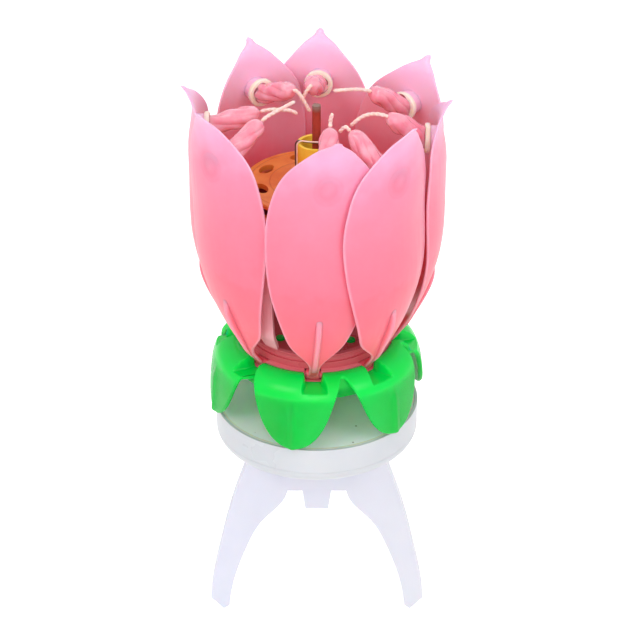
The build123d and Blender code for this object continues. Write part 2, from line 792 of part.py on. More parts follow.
# Petal hub: floor, ring with pockets and open sockets for the petals' trunnions, boss for the sleeve
with BuildPart() as petal_hub:
    with BuildSketch(Plane.XZ):
        with BuildLine():
            Polyline(
                (sleeve_radius, hub_boss_base),
                (hub_boss_radius, hub_boss_base),
                (hub_boss_radius, hub_floor_height),
                (hub_radius, hub_floor_height),
                (hub_radius, hub_top),
                (hub_radius - hub_ring_width, hub_top),
                (hub_radius - hub_ring_width, hub_floor_top),
                (0, hub_floor_top),
                (0, spindle_top + seat_gap),
                (spindle_radius + running_gap, spindle_top + seat_gap),
                (spindle_radius + running_gap, sleeve_top),
                (sleeve_radius, sleeve_top),
                close=True,
            )
        make_face()
    revolve(axis=Axis.Z)
    for petal in range(petal_count):
        azimuth = petal_azimuth + petal * 360.0 / petal_count
        hinge_plane = Plane(
            origin=compass(hinge_radius, azimuth, hinge_height),
            x_dir=compass(1.0, azimuth),
            z_dir=compass(1.0, azimuth + 90.0),
        )
        with BuildSketch(radial_plane(azimuth, hinge_radius - pocket_radius, hinge_height - pocket_radius)):
            Rectangle(2 * pocket_half_width, hub_top, align=(Align.CENTER, Align.MIN))
        extrude(amount=hub_radius, mode=Mode.SUBTRACT)
        with BuildSketch(hinge_plane):
            Circle(trunnion_radius + running_gap)
        extrude(amount=trunnion_half_width + slide_gap, both=True, mode=Mode.SUBTRACT)
        with BuildSketch(hinge_plane):
            Rectangle(hub_radius, 2 * (trunnion_radius + running_gap), align=(Align.MIN, Align.CENTER))
        extrude(amount=trunnion_half_width + slide_gap, both=True, mode=Mode.SUBTRACT)
    with BuildSketch(Plane.XY.offset(hub_floor_height)):
        for stake in range(stake_count):
            with Locations(compass(stake_orbit, stake_azimuth + stake * 360.0 / stake_count)):
                Circle(stake_radius + slide_gap)
    extrude(amount=hub_floor, mode=Mode.SUBTRACT)
keep(petal_hub.part, "petal_hub")

# Inner cup: stepped base ring and a flared wall with eight arched windows
cup_shoulder = cup_base + cup_shoulder_share * cup_ring_height
cup_top = cup_base + cup_height
with BuildPart() as inner_cup:
    with BuildSketch(Plane.XZ):
        with BuildLine():
            wall_rise = cup_top - cup_shoulder
            outer = [(cup_step_radius + flare_share * cup_flare, cup_shoulder + height_share * wall_rise)
                     for flare_share, height_share in cup_wall_shares]
            inner = [(radius - cup_wall, height + cup_wall / 3) for radius, height in outer[:-1]]
            inner.append((outer[-1][0] - cup_wall, outer[-1][1]))
            Polyline(
                (cup_bore_radius, cup_base),
                (cup_radius, cup_base),
                (cup_radius, cup_base + cup_step_height),
                (cup_step_radius, cup_base + cup_step_height),
                (cup_step_radius, cup_shoulder),
                outer[0],
            )
            Spline(*outer)
            Line(outer[-1], inner[-1])
            Spline(*reversed(inner))
            Polyline(
                inner[0],
                (cup_step_radius - cup_wall, cup_shoulder + cup_wall / 3),
                (cup_step_radius - cup_wall, cup_base + cup_floor),
                (cup_bore_radius, cup_base + cup_floor),
                (cup_bore_radius, cup_base),
            )
        make_face()
    revolve(axis=Axis.Z)
    for window in range(window_count):
        azimuth = window_azimuth + window * 360.0 / window_count
        with BuildSketch(radial_plane(azimuth, cup_step_radius - overrun, cup_base + cup_ring_height)):
            with BuildLine():
                straight = window_height - window_half_width
                Polyline((-window_half_width, straight), (-window_half_width, 0),
                         (window_half_width, 0), (window_half_width, straight))
                ThreePointArc(
                    (window_half_width, straight),
                    (0, window_height),
                    (-window_half_width, straight),
                )
            make_face()
        extrude(amount=cup_top_radius, mode=Mode.SUBTRACT)
    with BuildSketch(Plane.XY.offset(cup_base)):
        for stake in range(stake_count):
            with Locations(compass(stake_orbit, stake_azimuth + stake * 360.0 / stake_count)):
                Circle(stake_radius + slide_gap)
    extrude(amount=cup_floor, mode=Mode.SUBTRACT)
keep(inner_cup.part, "inner_cup")

# Pod body: a stalk on the hub that flares into a cone, with a collar for the tube
pod_collar_radius = stalk_bore_radius + pod_collar_wall
with BuildPart() as pod_body:
    with BuildSketch(Plane.XZ):
        with BuildLine():
            Polyline(
                (tube_radius / 2, hub_floor_top),
                (pod_stalk_radius, hub_floor_top),
                (pod_stalk_radius, pod_neck_height),
                (pod_radius, pod_rim_height - pod_wall),
                (pod_radius, pod_rim_height),
                (pod_radius - pod_wall, pod_rim_height),
                (pod_collar_radius, pod_neck_height + pod_root_height),
                (pod_collar_radius, pod_plate_height),
                (stalk_bore_radius, pod_plate_height),
                (stalk_bore_radius, tube_foot),
                (tube_radius / 2, tube_foot),
                close=True,
            )
        make_face()
    revolve(axis=Axis.Z)
keep(pod_body.part, "pod_body")

# Pod plate: a stepped disc with eight oval seed holes and a slot for the wire
wire_orbit = tube_radius + wire_radius + slide_gap
with BuildPart() as pod_plate:
    with BuildSketch(Plane.XY.offset(pod_plate_height)):
        Circle(pod_radius)
        Circle(stalk_bore_radius, mode=Mode.SUBTRACT)
    extrude(amount=pod_plate_thickness)
    with BuildSketch(Plane.XY.offset(pod_plate_height + pod_plate_thickness)):
        Circle(pod_step_radius)
        Circle(stalk_bore_radius, mode=Mode.SUBTRACT)
    extrude(amount=pod_step_height)
    with BuildSketch(Plane.XY.offset(pod_plate_height)):
        for hole in range(pod_hole_count):
            azimuth = pod_hole_azimuth + hole * 360.0 / pod_hole_count
            with Locations(Location(compass(pod_hole_orbit, azimuth), (0, 0, azimuth))):
                Ellipse(pod_hole_length / 2, pod_hole_width / 2)
    extrude(amount=pod_plate_thickness, mode=Mode.SUBTRACT)
    with BuildSketch(Plane.XY.offset(pod_plate_height)):
        with Locations((-wire_orbit, 0)):
            Circle(2 * wire_radius)
    extrude(amount=pod_plate_thickness + pod_step_height, mode=Mode.SUBTRACT)
    fillet(pod_plate.edges().filter_by(GeomType.CIRCLE).sort_by(SortBy.RADIUS)[-2:], pod_step_height)
keep(pod_plate.part, "pod_plate")

# Fountain tube, its pressed charge and the fuse
with BuildPart() as fountain_tube:
    with BuildSketch(Plane.XY.offset(tube_foot)):
        Circle(tube_radius)
        Circle(tube_radius - tube_wall, mode=Mode.SUBTRACT)
    extrude(amount=tube_top - tube_foot)
keep(fountain_tube.part, "fountain_tube")

with BuildPart() as fountain_core:
    with BuildSketch(Plane.XY.offset(tube_foot)):
        Circle(tube_radius - tube_wall)
    extrude(amount=core_top - tube_foot)
    with BuildSketch(Plane.XY.offset(core_top - fuse_depth)):
        Circle(fuse_radius)
    extrude(amount=fuse_depth, mode=Mode.SUBTRACT)
keep(fountain_core.part, "fountain_core")

with BuildPart() as fuse:
    with BuildSketch(Plane.XY.offset(core_top - fuse_depth)):
        Circle(fuse_radius)
    extrude(amount=fuse_top - core_top + fuse_depth)
keep(fuse.part, "fuse")

# Trigger wire: up the tube's side, over its rim and across in front of the fuse
wire_over = tube_top + wire_radius + slide_gap
wire_front = fuse_radius + 3 * wire_radius
wire_points = [
    Vector(-wire_orbit, 0, pod_plate_height),
    Vector(-wire_orbit, 0, wire_over + wire_radius),
    Vector(-wire_orbit / 2, -wire_front, wire_over + 2 * wire_radius),
    Vector(wire_orbit / 3, -wire_front, wire_over + wire_radius),
    Vector(wire_end_share * wire_orbit, -wire_front / 3, wire_over),
]
keep(round_rod(wire_points, wire_radius), "trigger_wire")

# Tie thread: up beside the wire, over the rim and across the tube's mouth to its other side
thread_orbit = tube_radius + thread_radius + slide_gap
thread_inner_orbit = thread_orbit_share * thread_orbit
thread_over = tube_top + thread_arch
thread_points = [
    compass(thread_orbit, thread_azimuth, pod_plate_height + pod_plate_thickness + pod_step_height),
    compass(thread_orbit, thread_azimuth, thread_over),
    compass(thread_inner_orbit, (thread_azimuth - thread_end_azimuth) / 4, thread_over),
    compass(thread_inner_orbit, thread_end_azimuth / 2, thread_over),
    compass(thread_orbit, thread_end_azimuth, thread_over - thread_radius),
]
keep(round_rod(thread_points, thread_radius), "tie_thread")


def section_corners(bulge, half_width, wall):
    """The petal's cross-section in its own frame: outer and inner points at the middle and edges."""
    arc_centre = petal_bulge - petal_curve_radius
    arc_radius = bulge - arc_centre
    outer_edge = arc_centre + sqrt(arc_radius ** 2 - half_width ** 2)
    inner_edge = outer_edge - petal_edge_share * wall
    return outer_edge, bulge, inner_edge, bulge - wall


def petal_bulge_at(height_share):
    """The petal's outer bulge at a share of its height, between its stations."""
    for lower, upper in zip(petal_station_shares, petal_station_shares[1:]):
        if lower[0] <= height_share <= upper[0]:
            share = (height_share - lower[0]) / (upper[0] - lower[0])
            return petal_bulge * (lower[1] + share * (upper[1] - lower[1]))
    return petal_bulge


candle_height = candle_station_share * petal_length
candle_foot = petal_bulge_at(candle_station_share) - petal_wall - candle_standoff


def swept_side(sweep, height_share):
    """How far a petal with this sweep at its tip has gone to its side at a share of its height."""
    return sweep * (max(0.0, height_share - sweep_start_share) / (1.0 - sweep_start_share)) ** 2


def make_petal(azimuth, frame, sweep):
    """A petal with its stem, keel, hinge knuckle, trunnions and the stud for its candle."""
    with BuildPart() as petal:
        for height_share, bulge_share, width_share, wall_share in petal_station_shares:
            half_width = width_share * petal_half_width
            outer_edge, outer_middle, inner_edge, inner_middle = section_corners(
                bulge_share * petal_bulge, half_width, wall_share * petal_wall)
            side = swept_side(sweep, height_share)
            left = side - half_width
            right = side + half_width
            with BuildSketch(frame.offset(height_share * petal_length)):
                with BuildLine():
                    ThreePointArc((outer_edge, left), (outer_middle, side), (outer_edge, right))
                    Line((outer_edge, right), (inner_edge, right))
                    ThreePointArc((inner_edge, right), (inner_middle, side), (inner_edge, left))
                    Line((inner_edge, left), (outer_edge, left))
                make_face()
        loft()
        for height_share, keel_share in keel_station_shares:
            outside = petal_bulge_at(height_share)
            with BuildSketch(frame.offset(height_share * petal_length)):
                with BuildLine():
                    Polyline(
                        (outside - keel_root, -keel_half_width),
                        (outside + keel_share * keel_height, -keel_top_share * keel_half_width),
                        (outside + keel_share * keel_height, keel_top_share * keel_half_width),
                        (outside - keel_root, keel_half_width),
                        close=True,
                    )
                make_face()
        loft()
        hinge_plane = Plane(
            frame.origin,
            x_dir=compass(1.0, azimuth),
            z_dir=compass(1.0, azimuth + 90.0),
        )
        with BuildSketch(hinge_plane):
            Circle(knuckle_radius)
        extrude(amount=knuckle_half_width, both=True)
        with BuildSketch(hinge_plane):
            Circle(trunnion_radius)
        extrude(amount=trunnion_half_width, both=True)
        stud_plane = seat_plane(frame, sweep)
        with BuildSketch(stud_plane.offset(-seat_thickness)):
            Circle(stud_radius)
        extrude(amount=-(candle_standoff - seat_thickness + stud_root_share * petal_wall))
        with BuildSketch(stud_plane.offset(-seat_thickness)):
            Circle(spigot_radius)
        extrude(amount=spigot_length)
    return petal.part


def seat_plane(frame, sweep):
    """The plane of the candle seat's inner face, looking at the middle of the bud."""
    side = swept_side(sweep, candle_station_share)
    return Plane(
        origin=frame.from_local_coords((candle_foot, side, candle_height)),
        x_dir=frame.y_dir,
        z_dir=-frame.x_dir,
    )


def make_seat(face):
    """The ring between a petal's stud and the candle at its face."""
    with BuildPart() as seat:
        with BuildSketch(face.offset(-seat_thickness)):
            Circle(seat_radius)
            Circle(seat_bore_radius, mode=Mode.SUBTRACT)
        extrude(amount=seat_thickness)
        fillet(seat.edges().filter_by(GeomType.CIRCLE).sort_by(SortBy.RADIUS)[-2:], seat_thickness / 3)
    return seat.part


def candle_direction(frame, turn, rise):
    """The way a candle points, turned sideways and raised from the petal's inner face."""
    inwards = -cos(radians(rise)) * cos(radians(turn))
    sideways = cos(radians(rise)) * sin(radians(turn))
    return frame.x_dir * inwards + frame.y_dir * sideways + frame.z_dir * sin(radians(rise))


def make_candle(face, direction, length):
    """A spiral-fluted candle whose foot is cut flat against its seat's face."""
    axis_plane = Plane(origin=face.origin, x_dir=face.x_dir, z_dir=direction)
    with BuildPart() as candle:
        for number, (length_share, radius_share) in enumerate(candle_station_shares):
            height = length_share * (length + candle_root) - candle_root
            outer_radius = radius_share * candle_radius
            inner_radius = outer_radius - radius_share * candle_flute_depth
            with BuildSketch(axis_plane.offset(height)):
                with BuildLine():
                    for flute in range(candle_flutes):
                        start = number * candle_twist + flute * 360.0 / candle_flutes
                        ThreePointArc(
                            polar(inner_radius, start),
                            polar(outer_radius, start + 180.0 / candle_flutes),
                            polar(inner_radius, start + 360.0 / candle_flutes),
                        )
                make_face()
        loft()
        split(bisect_by=face, keep=Keep.TOP)
    return candle.part


def make_wick(end, direction, offsets):
    """A string wick from the candle's end through its own few points."""
    points = [end, end + direction * wick_root] + [end + Vector(*offset) for offset in offsets]
    return round_rod(points, wick_radius)


# Petals with their candle seats, candles and wicks
for number in range(petal_count):
    azimuth = petal_azimuth + number * 360.0 / petal_count
    frame = petal_frame(azimuth, petal_skews[number], petal_leans[number], petal_openings[number])
    face = seat_plane(frame, petal_sweeps[number])
    direction = candle_direction(frame, candle_turns[number], candle_rises[number])
    candle_end = face.origin + direction * candle_lengths[number]
    keep(make_petal(azimuth, frame, petal_sweeps[number]), f"petal_{number + 1}")
    keep(make_seat(face), f"candle_seat_{number + 1}")
    keep(make_candle(face, direction, candle_lengths[number]), f"candle_{number + 1}")
    keep(make_wick(candle_end, direction, wick_routes[number]), f"wick_{number + 1}")
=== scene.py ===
import json
from math import atan2, cos, pi, radians, sin, tan

import bpy
import numpy as np
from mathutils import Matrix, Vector


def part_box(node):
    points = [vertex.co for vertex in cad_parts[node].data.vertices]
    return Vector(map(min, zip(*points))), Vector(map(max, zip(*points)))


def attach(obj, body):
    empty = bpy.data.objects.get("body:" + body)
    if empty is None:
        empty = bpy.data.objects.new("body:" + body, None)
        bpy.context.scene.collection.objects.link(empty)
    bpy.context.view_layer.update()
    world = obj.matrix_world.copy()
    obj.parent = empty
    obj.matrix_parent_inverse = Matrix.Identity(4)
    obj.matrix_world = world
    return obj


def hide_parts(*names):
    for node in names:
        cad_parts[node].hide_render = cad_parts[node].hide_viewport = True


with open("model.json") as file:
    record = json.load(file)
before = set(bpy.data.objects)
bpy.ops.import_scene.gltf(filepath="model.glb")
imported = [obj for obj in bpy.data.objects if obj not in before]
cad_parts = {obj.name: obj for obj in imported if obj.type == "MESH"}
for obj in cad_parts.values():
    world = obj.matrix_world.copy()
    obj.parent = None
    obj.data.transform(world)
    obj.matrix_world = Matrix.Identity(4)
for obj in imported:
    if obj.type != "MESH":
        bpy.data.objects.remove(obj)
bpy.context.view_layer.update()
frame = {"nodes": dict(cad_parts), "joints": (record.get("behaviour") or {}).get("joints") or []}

# A closed flower candle. Metres, +Z up, the front is -Y, azimuths run from the front towards +X.
# The petals, calyx, candles, wicks and seats are drawn here as smooth surfaces in the places of their
# solids, and the other solids keep their shape and get the finish of the real material, with painted
# light and shade in some finishes.

mm = 0.001
nodes = frame["nodes"]
joints = {joint["name"]: joint for joint in frame["joints"]}
petal_count = 8

# Camera, fitted to the photograph
camera_elevation = radians(29.87)
camera_distance = 540.0 * mm
focal_pixels = 2356.4
image_pixels = 640
sensor_width = 36.0
aim_height = 80.63 * mm
aim_side = 0.77 * mm

# Petal, in its own frame: X outwards, Y along the tangent, Z up the petal
petal_length = 64.3 * mm
petal_bulge = 12.3 * mm
hinge_radius = 16.1 * mm
petal_overlap = 0.36 * mm
petal_half_width = (hinge_radius + petal_bulge) * tan(pi / petal_count) + petal_overlap
petal_wall = 0.8 * mm
petal_curve_radius = 19.5 * mm
petal_edge_share = 0.6
petal_end_round = 0.5 * mm
petal_end_flat = 0.02 * mm
petal_tip_rim = 0.2 * mm
petal_rows = 150
petal_columns = 41
petal_edge_columns = 5
petal_skews = [7.9, 1.0, 1.9, 10.4, -6.7, -9.5, 1.8, 0.6]
petal_leans = [1.9, -5.3, 0.1, -3.9, 2.0, -4.0, -4.5, -1.4]
petal_openings = [1.3, 2.2, 0.3, -0.9, 1.8, -0.3, 0.3, 0.6]
petal_sweeps = [2.4, 5.6, -8.7, -4.0, 0.0, 1.6, 9.6, -3.9]
sweep_start_share = 0.6
petal_station_shares = np.array([
    (0.0, 0.089, 0.087, 1.9),
    (0.033, 0.228, 0.095, 1.9),
    (0.072, 0.358, 0.115, 1.75),
    (0.110, 0.445, 0.243, 1.6),
    (0.157, 0.550, 0.452, 1.35),
    (0.213, 0.675, 0.588, 1.2),
    (0.297, 0.830, 0.735, 1.05),
    (0.406, 0.960, 0.893, 1.0),
    (0.515, 1.0, 0.978, 1.0),
    (0.624, 1.0, 1.0, 1.0),
    (0.701, 1.0, 0.983, 1.0),
    (0.764, 0.988, 0.938, 1.0),
    (0.826, 0.943, 0.842, 1.0),
    (0.880, 0.900, 0.672, 1.0),
    (0.928, 0.886, 0.441, 1.0),
    (0.966, 0.935, 0.220, 1.0),
    (0.983, 0.984, 0.096, 0.95),
    (1.0, 1.049, 0.068, 0.9),
])
keel_half_width = 0.8 * mm
keel_height = 1.0 * mm
keel_root = 0.4 * mm
keel_top_share = 0.7
keel_rows = 60
keel_columns = 13
keel_light_depth = 0.7 * mm
keel_station_shares = np.array([
    (0.033, 0.1),
    (0.072, 0.6),
    (0.110, 0.9),
    (0.157, 1.2),
    (0.213, 1.3),
    (0.270, 0.9),
    (0.312, 0.0),
])
knuckle_radius = 1.1 * mm
knuckle_half_width = 1.5 * mm
trunnion_radius = 0.8 * mm
trunnion_half_width = 3.2 * mm
rod_bevel = 0.15 * mm

# Calyx, in millimetres: its profile and the ring under its rim are pairs of radius and height, and the
# lobes' edge is pairs of the share of the way from a notch to a tip and the share of its height
lobe_count = 6
lobe_width = 2 * pi / lobe_count
lobe_azimuth = radians(-13.0)
lobe_tip_height = 61.4
notch_top_height = 77.15
calyx_wall = 1.1
calyx_profile = np.array([
    (18.2, 77.3), (19.0, 77.25), (20.1, 76.95), (21.6, 76.15), (22.9, 74.8), (23.75, 72.9), (24.3, 70.0),
    (24.65, 66.0), (24.9, 60.0)])
calyx_ring_corners = np.array([(18.7, 76.1), (18.7, 70.9), (17.4, 70.9), (17.4, 76.9), (17.65, 77.2)])
calyx_inner_start = 0.05
calyx_azimuths = 900
calyx_outer_rows = 40
calyx_inner_rows = 30
calyx_edge_rows = 5
lobe_edge_shares = np.array([
    (0.0, 1.0), (0.06, 0.99), (0.13, 0.93), (0.22, 0.8), (0.32, 0.6), (0.44, 0.38), (0.58, 0.2),
    (0.74, 0.075), (0.9, 0.012), (1.0, 0.0)])
midrib_height = 0.45
midrib_half_width = 0.8
midrib_top_height = 73.4
midrib_fade = 4.0
groove_floor = 74.65
groove_half_width = 1.6
groove_spread = 0.35
groove_straight = 3.0
groove_blend = 0.6
groove_turn_share = 0.65
floor_bore_radius = 4.7
floor_radius = 18.2
floor_height = 70.9
floor_thickness = 1.4
stake_count = 3
stake_orbit = 9.25
stake_azimuth = radians(-63.0)
stake_radius = 1.0
stake_bevel = 0.2
stake_foot = 71.2
stake_top = 78.7

# Candle, seat and wick
candle_station_share = 0.817
candle_standoff = 3.6 * mm
stud_radius = 2.8 * mm
stud_root_share = 0.3
spigot_radius = 1.8 * mm
spigot_length = 1.0 * mm
seat_radius = 3.3 * mm
seat_bore_radius = 1.9 * mm
seat_thickness = 1.2 * mm
seat_squareness = 0.55
candle_radius = 2.4 * mm
candle_flutes = 5
candle_flute_depth = 0.42 * mm
candle_twist_per_length = radians(10.0) / mm
candle_end_round = 1.1 * mm
candle_softening = 3.5 * mm
candle_rows = 110
candle_columns = 80
candle_turns = [8.0, -6.3, -32.4, 13.6, -3.0, -5.4, -9.5, -2.6]
candle_rises = [43.5, 37.7, 36.8, 35.1, 21.5, 22.6, 13.9, 26.0]
candle_lengths = [12.1, 12.0, 12.1, 11.5, 12.4, 11.9, 11.5, 12.1]
candle_station_shares = np.array([
    (0.0, 1.0), (0.25, 1.0), (0.5, 0.98), (0.72, 0.94), (0.87, 0.8), (1.0, 0.48)])
# Waves in the wax: share of the radius, waves round, angle for each metre up and shift for each candle
candle_lumps = [(0.05, 2, 900, 2.1), (0.035, 3, -1500, 1.3)]
wick_radius = 0.45 * mm
wick_root = 1.3 * mm
wick_plies = 2
wick_pitch = 2.2 * mm
wick_columns = 24
wick_routes = [
    [(0.1, 0.2, 2.0), (0.5, 0.1, 3.3)],
    [(-1.5, 1.0, 0.3), (-2.3, 1.3, -0.9)],
    [(-3.6, 0.5, 0.6), (-6.2, 0.5, -0.4), (-8.0, 0.4, -2.3)],
    [(-3.8, -0.3, 0.8), (-8.4, -0.2, 0.3)],
    [(-1.2, -1.2, -0.9), (-2.3, -0.9, -3.2)],
    [(2.2, -1.6, -1.4), (3.7, -1.4, -4.6)],
    [(3.6, 0.2, 0.5), (7.6, 0.3, 0.1), (8.2, 0.2, -0.8)],
    [(3.3, 2.0, 1.5), (7.2, 4.9, 2.5)],
]

# Places of finishes and of painted shade, in millimetres
lid_seam_radius = 22.55
drum_parting_height = 54.1
plate_step_radii = (10.4, 15.0)
pod_rim_thickness = 2.7
cup_ring_height = 3.4
# The hub and cup are painted dark red inside this radius, as the shade inside the bud
inside_shade_radius = 14.9
inside_shade_red = "#7A1512"


# Surfaces
def cubic_through(places, values, at):
    """Values at points on a natural cubic spline through the given places: its second derivatives solve
    the usual tridiagonal system, with zero at both ends."""
    steps = np.diff(places)
    slopes = np.diff(values) / steps
    system = np.eye(len(places))
    right = np.zeros(len(places))
    inner = np.arange(1, len(places) - 1)
    system[inner, inner - 1] = steps[:-1]
    system[inner, inner] = 2 * (steps[:-1] + steps[1:])
    system[inner, inner + 1] = steps[1:]
    right[inner] = 6 * np.diff(slopes)
    bends = np.linalg.solve(system, right)
    cell = np.clip(np.searchsorted(places, at) - 1, 0, len(steps) - 1)
    after = (at - places[cell]) / steps[cell]
    before = 1 - after
    straight = before * values[cell] + after * values[cell + 1]
    curved = ((before ** 3 - before) * bends[cell] + (after ** 3 - after) * bends[cell + 1])
    return straight + curved * steps[cell] ** 2 / 6


def grid_quads(rows, columns, wrap_rows=False):
    """The four corners of each cell of a grid whose columns close on themselves, as its rows may too."""
    row = np.arange(rows if wrap_rows else rows - 1)[:, None]
    column = np.arange(columns)[None, :]
    next_row = (row + 1) % rows
    next_column = (column + 1) % columns
    corners = [row * columns + column, row * columns + next_column,
               next_row * columns + next_column, next_row * columns + column]
    return np.stack([corner.ravel() for corner in corners], axis=1)


def outward(points, faces):
    """The same faces, turned round if the volume they enclose, the sum of the tetrahedra to the first
    point, is negative."""
    corners = points[faces] - points[0]
    volume = np.einsum("ij,ij->i", corners[:, 0], np.cross(corners[:, 1], corners[:, 2])).sum()
    if faces.shape[1] == 4:
        volume += np.einsum("ij,ij->i", corners[:, 0], np.cross(corners[:, 2], corners[:, 3])).sum()
    return faces if volume > 0 else faces[:, ::-1]


def closed_tube(rings):
    """A skin over rings of points, with a pole at the middle of the first and last ring."""
    rows, columns, _ = rings.shape
    points = np.concatenate([rings.reshape(-1, 3), rings[:1].mean(axis=1), rings[-1:].mean(axis=1)])
    quads = grid_quads(rows, columns)
    around = np.arange(columns)
    ahead = (around + 1) % columns
    last = (rows - 1) * columns
    first_pole = np.stack([np.full(columns, rows * columns), ahead, around], axis=1)
    last_pole = np.stack([np.full(columns, rows * columns + 1), last + around, last + ahead], axis=1)
    if outward(points, quads) is not quads:
        return points, [quads[:, ::-1], first_pole[:, ::-1], last_pole[:, ::-1]]
    return points, [quads, first_pole, last_pole]


def turned(profile, centre, axis, side, steps=48):
    """A profile of (radius, height) points turned once round an axis: the radius times the cosine and
    sine of an angle on two sides that are square to the axis, and the height along it."""
    axis = np.asarray(axis)
    other = np.cross(axis, side)
    angles = np.linspace(0, 2 * pi, steps, endpoint=False)
    around = np.outer(np.cos(angles), side) + np.outer(np.sin(angles), other)
    profile = np.asarray(profile)
    return centre + profile[:, None, :1] * around[None] + profile[:, None, 1:] * axis


def turned_ring(middle, half, powers, steps, centre, axis, side):
    """A closed ring turned round an axis. Its section is between an ellipse and a rectangle: the middle
    radius and height, plus the half sizes times the cosine and sine of an angle, each of them raised to
    a power and with its sign kept."""
    angle = np.linspace(0, 2 * pi, steps[0], endpoint=False)
    waves = np.stack([np.cos(angle), np.sin(angle)], axis=1)
    profile = np.array(middle) + np.array(half) * np.sign(waves) * np.abs(waves) ** np.array(powers)
    points = turned(profile, centre, axis, side, steps[1]).reshape(-1, 3)
    return points, [outward(points, grid_quads(*steps, wrap_rows=True))]


def round_rod(start, end, radius, bevel):
    """A closed rod: a straight profile with a quarter circle of the bevel's radius at both ends, turned
    round the line between two points."""
    start = np.asarray(start)
    run = np.asarray(end) - start
    length = np.linalg.norm(run)
    axis = run / length
    side = np.cross(axis, (0.31, 0.52, 0.79))
    side /= np.linalg.norm(side)
    quarter = np.linspace(0, pi / 2, 5)
    foot = np.stack([radius - bevel + bevel * np.sin(quarter), bevel - bevel * np.cos(quarter)], axis=1)
    head = np.stack([foot[::-1, 0], length - foot[::-1, 1]], axis=1)
    return closed_tube(turned(np.concatenate([foot, head]), start, axis, side))


def make_piece(name, body, node, material, shells, fields=None, crease=40.0):
    """One object from several closed skins, smooth but for edges sharper than the crease, in place of a
    solid. Fields are named values or vectors at each point."""
    counts = np.cumsum([0] + [len(points) for points, _ in shells])
    points = np.concatenate([points for points, _ in shells])
    faces = [tuple(face) for (_, parts), count in zip(shells, counts)
             for part in parts for face in part + count]
    mesh = bpy.data.meshes.new(name)
    mesh.from_pydata(points.tolist(), [], faces)
    mesh.polygons.foreach_set("use_smooth", np.ones(len(mesh.polygons), dtype=bool))
    mesh.set_sharp_from_angle(angle=radians(crease))
    for field, values in (fields or {}).items():
        kind, key = ("FLOAT_VECTOR", "vector") if values.ndim == 2 else ("FLOAT", "value")
        mesh.attributes.new(field, kind, "POINT").data.foreach_set(key, values.ravel())
    mesh.materials.append(material)
    piece = bpy.data.objects.new(name, mesh)
    bpy.context.scene.collection.objects.link(piece)
    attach(piece, body)
    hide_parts(node)


# Materials
def colour(code):
    """A linear colour from an sRGB hex code."""
    channels = np.array([int(code[i:i + 2], 16) for i in (1, 3, 5)]) / 255
    linear = np.where(channels <= 0.04045, channels / 12.92, ((channels + 0.055) / 1.055) ** 2.4)
    return (*linear, 1.0)


def add_node(tree, kind, links=None, **settings):
    """Add a shader node. A setting is one of its properties or else an input, by name or as input_N, and
    links join outputs, or nodes by their first output, to its inputs."""
    node = tree.nodes.new("ShaderNode" + kind)
    for key, value in settings.items():
        if hasattr(node, key):
            setattr(node, key, value)
        elif key.startswith("input_"):
            node.inputs[int(key[len("input_"):])].default_value = value
        else:
            node.inputs[key.replace("_", " ")].default_value = value
    for key, source in (links or {}).items():
        output = source.outputs[0] if isinstance(source, bpy.types.Node) else source
        tree.links.new(output, node.inputs[key])
    return node


def set_stops(ramp, stops):
    """Set a colour ramp's stops from pairs of place and colour code."""
    elements = ramp.color_ramp.elements
    while len(elements) < len(stops):
        elements.new(0.5)
    for element, (place, code) in zip(elements, stops):
        element.position = place
        element.color = colour(code)


def begin_material(name, **sockets):
    """A new material with its shader's plain values set on its own sockets."""
    material = bpy.data.materials.new(name)
    material.use_nodes = True
    shader = material.node_tree.nodes["Principled BSDF"]
    for key, value in sockets.items():
        shader.inputs[key.replace("_", " ")].default_value = value
    return material, material.node_tree, shader


def join_relief(material, height, depth, strength=1.0):
    """Add a height between 0 and 1 to the material's relief, over a real depth, on top of what it has."""
    tree = material.node_tree
    normal = tree.nodes["Principled BSDF"].inputs["Normal"]
    under = {"Normal": normal.links[0].from_socket} if normal.is_linked else {}
    bump = add_node(tree, "Bump", {"Height": height, **under}, Strength=strength, Distance=depth)
    tree.links.new(bump.outputs["Normal"], normal)


def paint_over(material, value, code, none_at=0.0, full_at=1.0, most=1.0):
    """Lay a colour over what the material has, from not at all at one value to its most at the other."""
    tree = material.node_tree
    base = tree.nodes["Principled BSDF"].inputs["Base Color"]
    mask = add_node(tree, "MapRange", {0: value}, input_1=none_at, input_2=full_at, input_4=most)
    mix = add_node(tree, "Mix", {0: mask, 6: base.links[0].from_socket}, data_type="RGBA",
                   input_7=colour(code))
    tree.links.new(mix.outputs[2], base)


def vary_gloss(material, noise, gloss):
    """Let the roughness go between two values with the middle of a noise's range."""
    tree = material.node_tree
    spread = add_node(tree, "MapRange", {0: noise}, input_1=0.3, input_2=0.7, input_3=gloss[0],
                      input_4=gloss[1])
    tree.links.new(spread.outputs[0], tree.nodes["Principled BSDF"].inputs["Roughness"])


def band(tree, value, middle, half_width):
    """A mask that is 1 at the middle value and fades to 0 at the half width on both sides."""
    away = add_node(tree, "Math", {0: value}, operation="SUBTRACT", input_1=middle)
    distance = add_node(tree, "Math", {0: away}, operation="ABSOLUTE")
    return add_node(tree, "MapRange", {0: distance}, input_2=half_width, input_3=1.0, input_4=0.0)


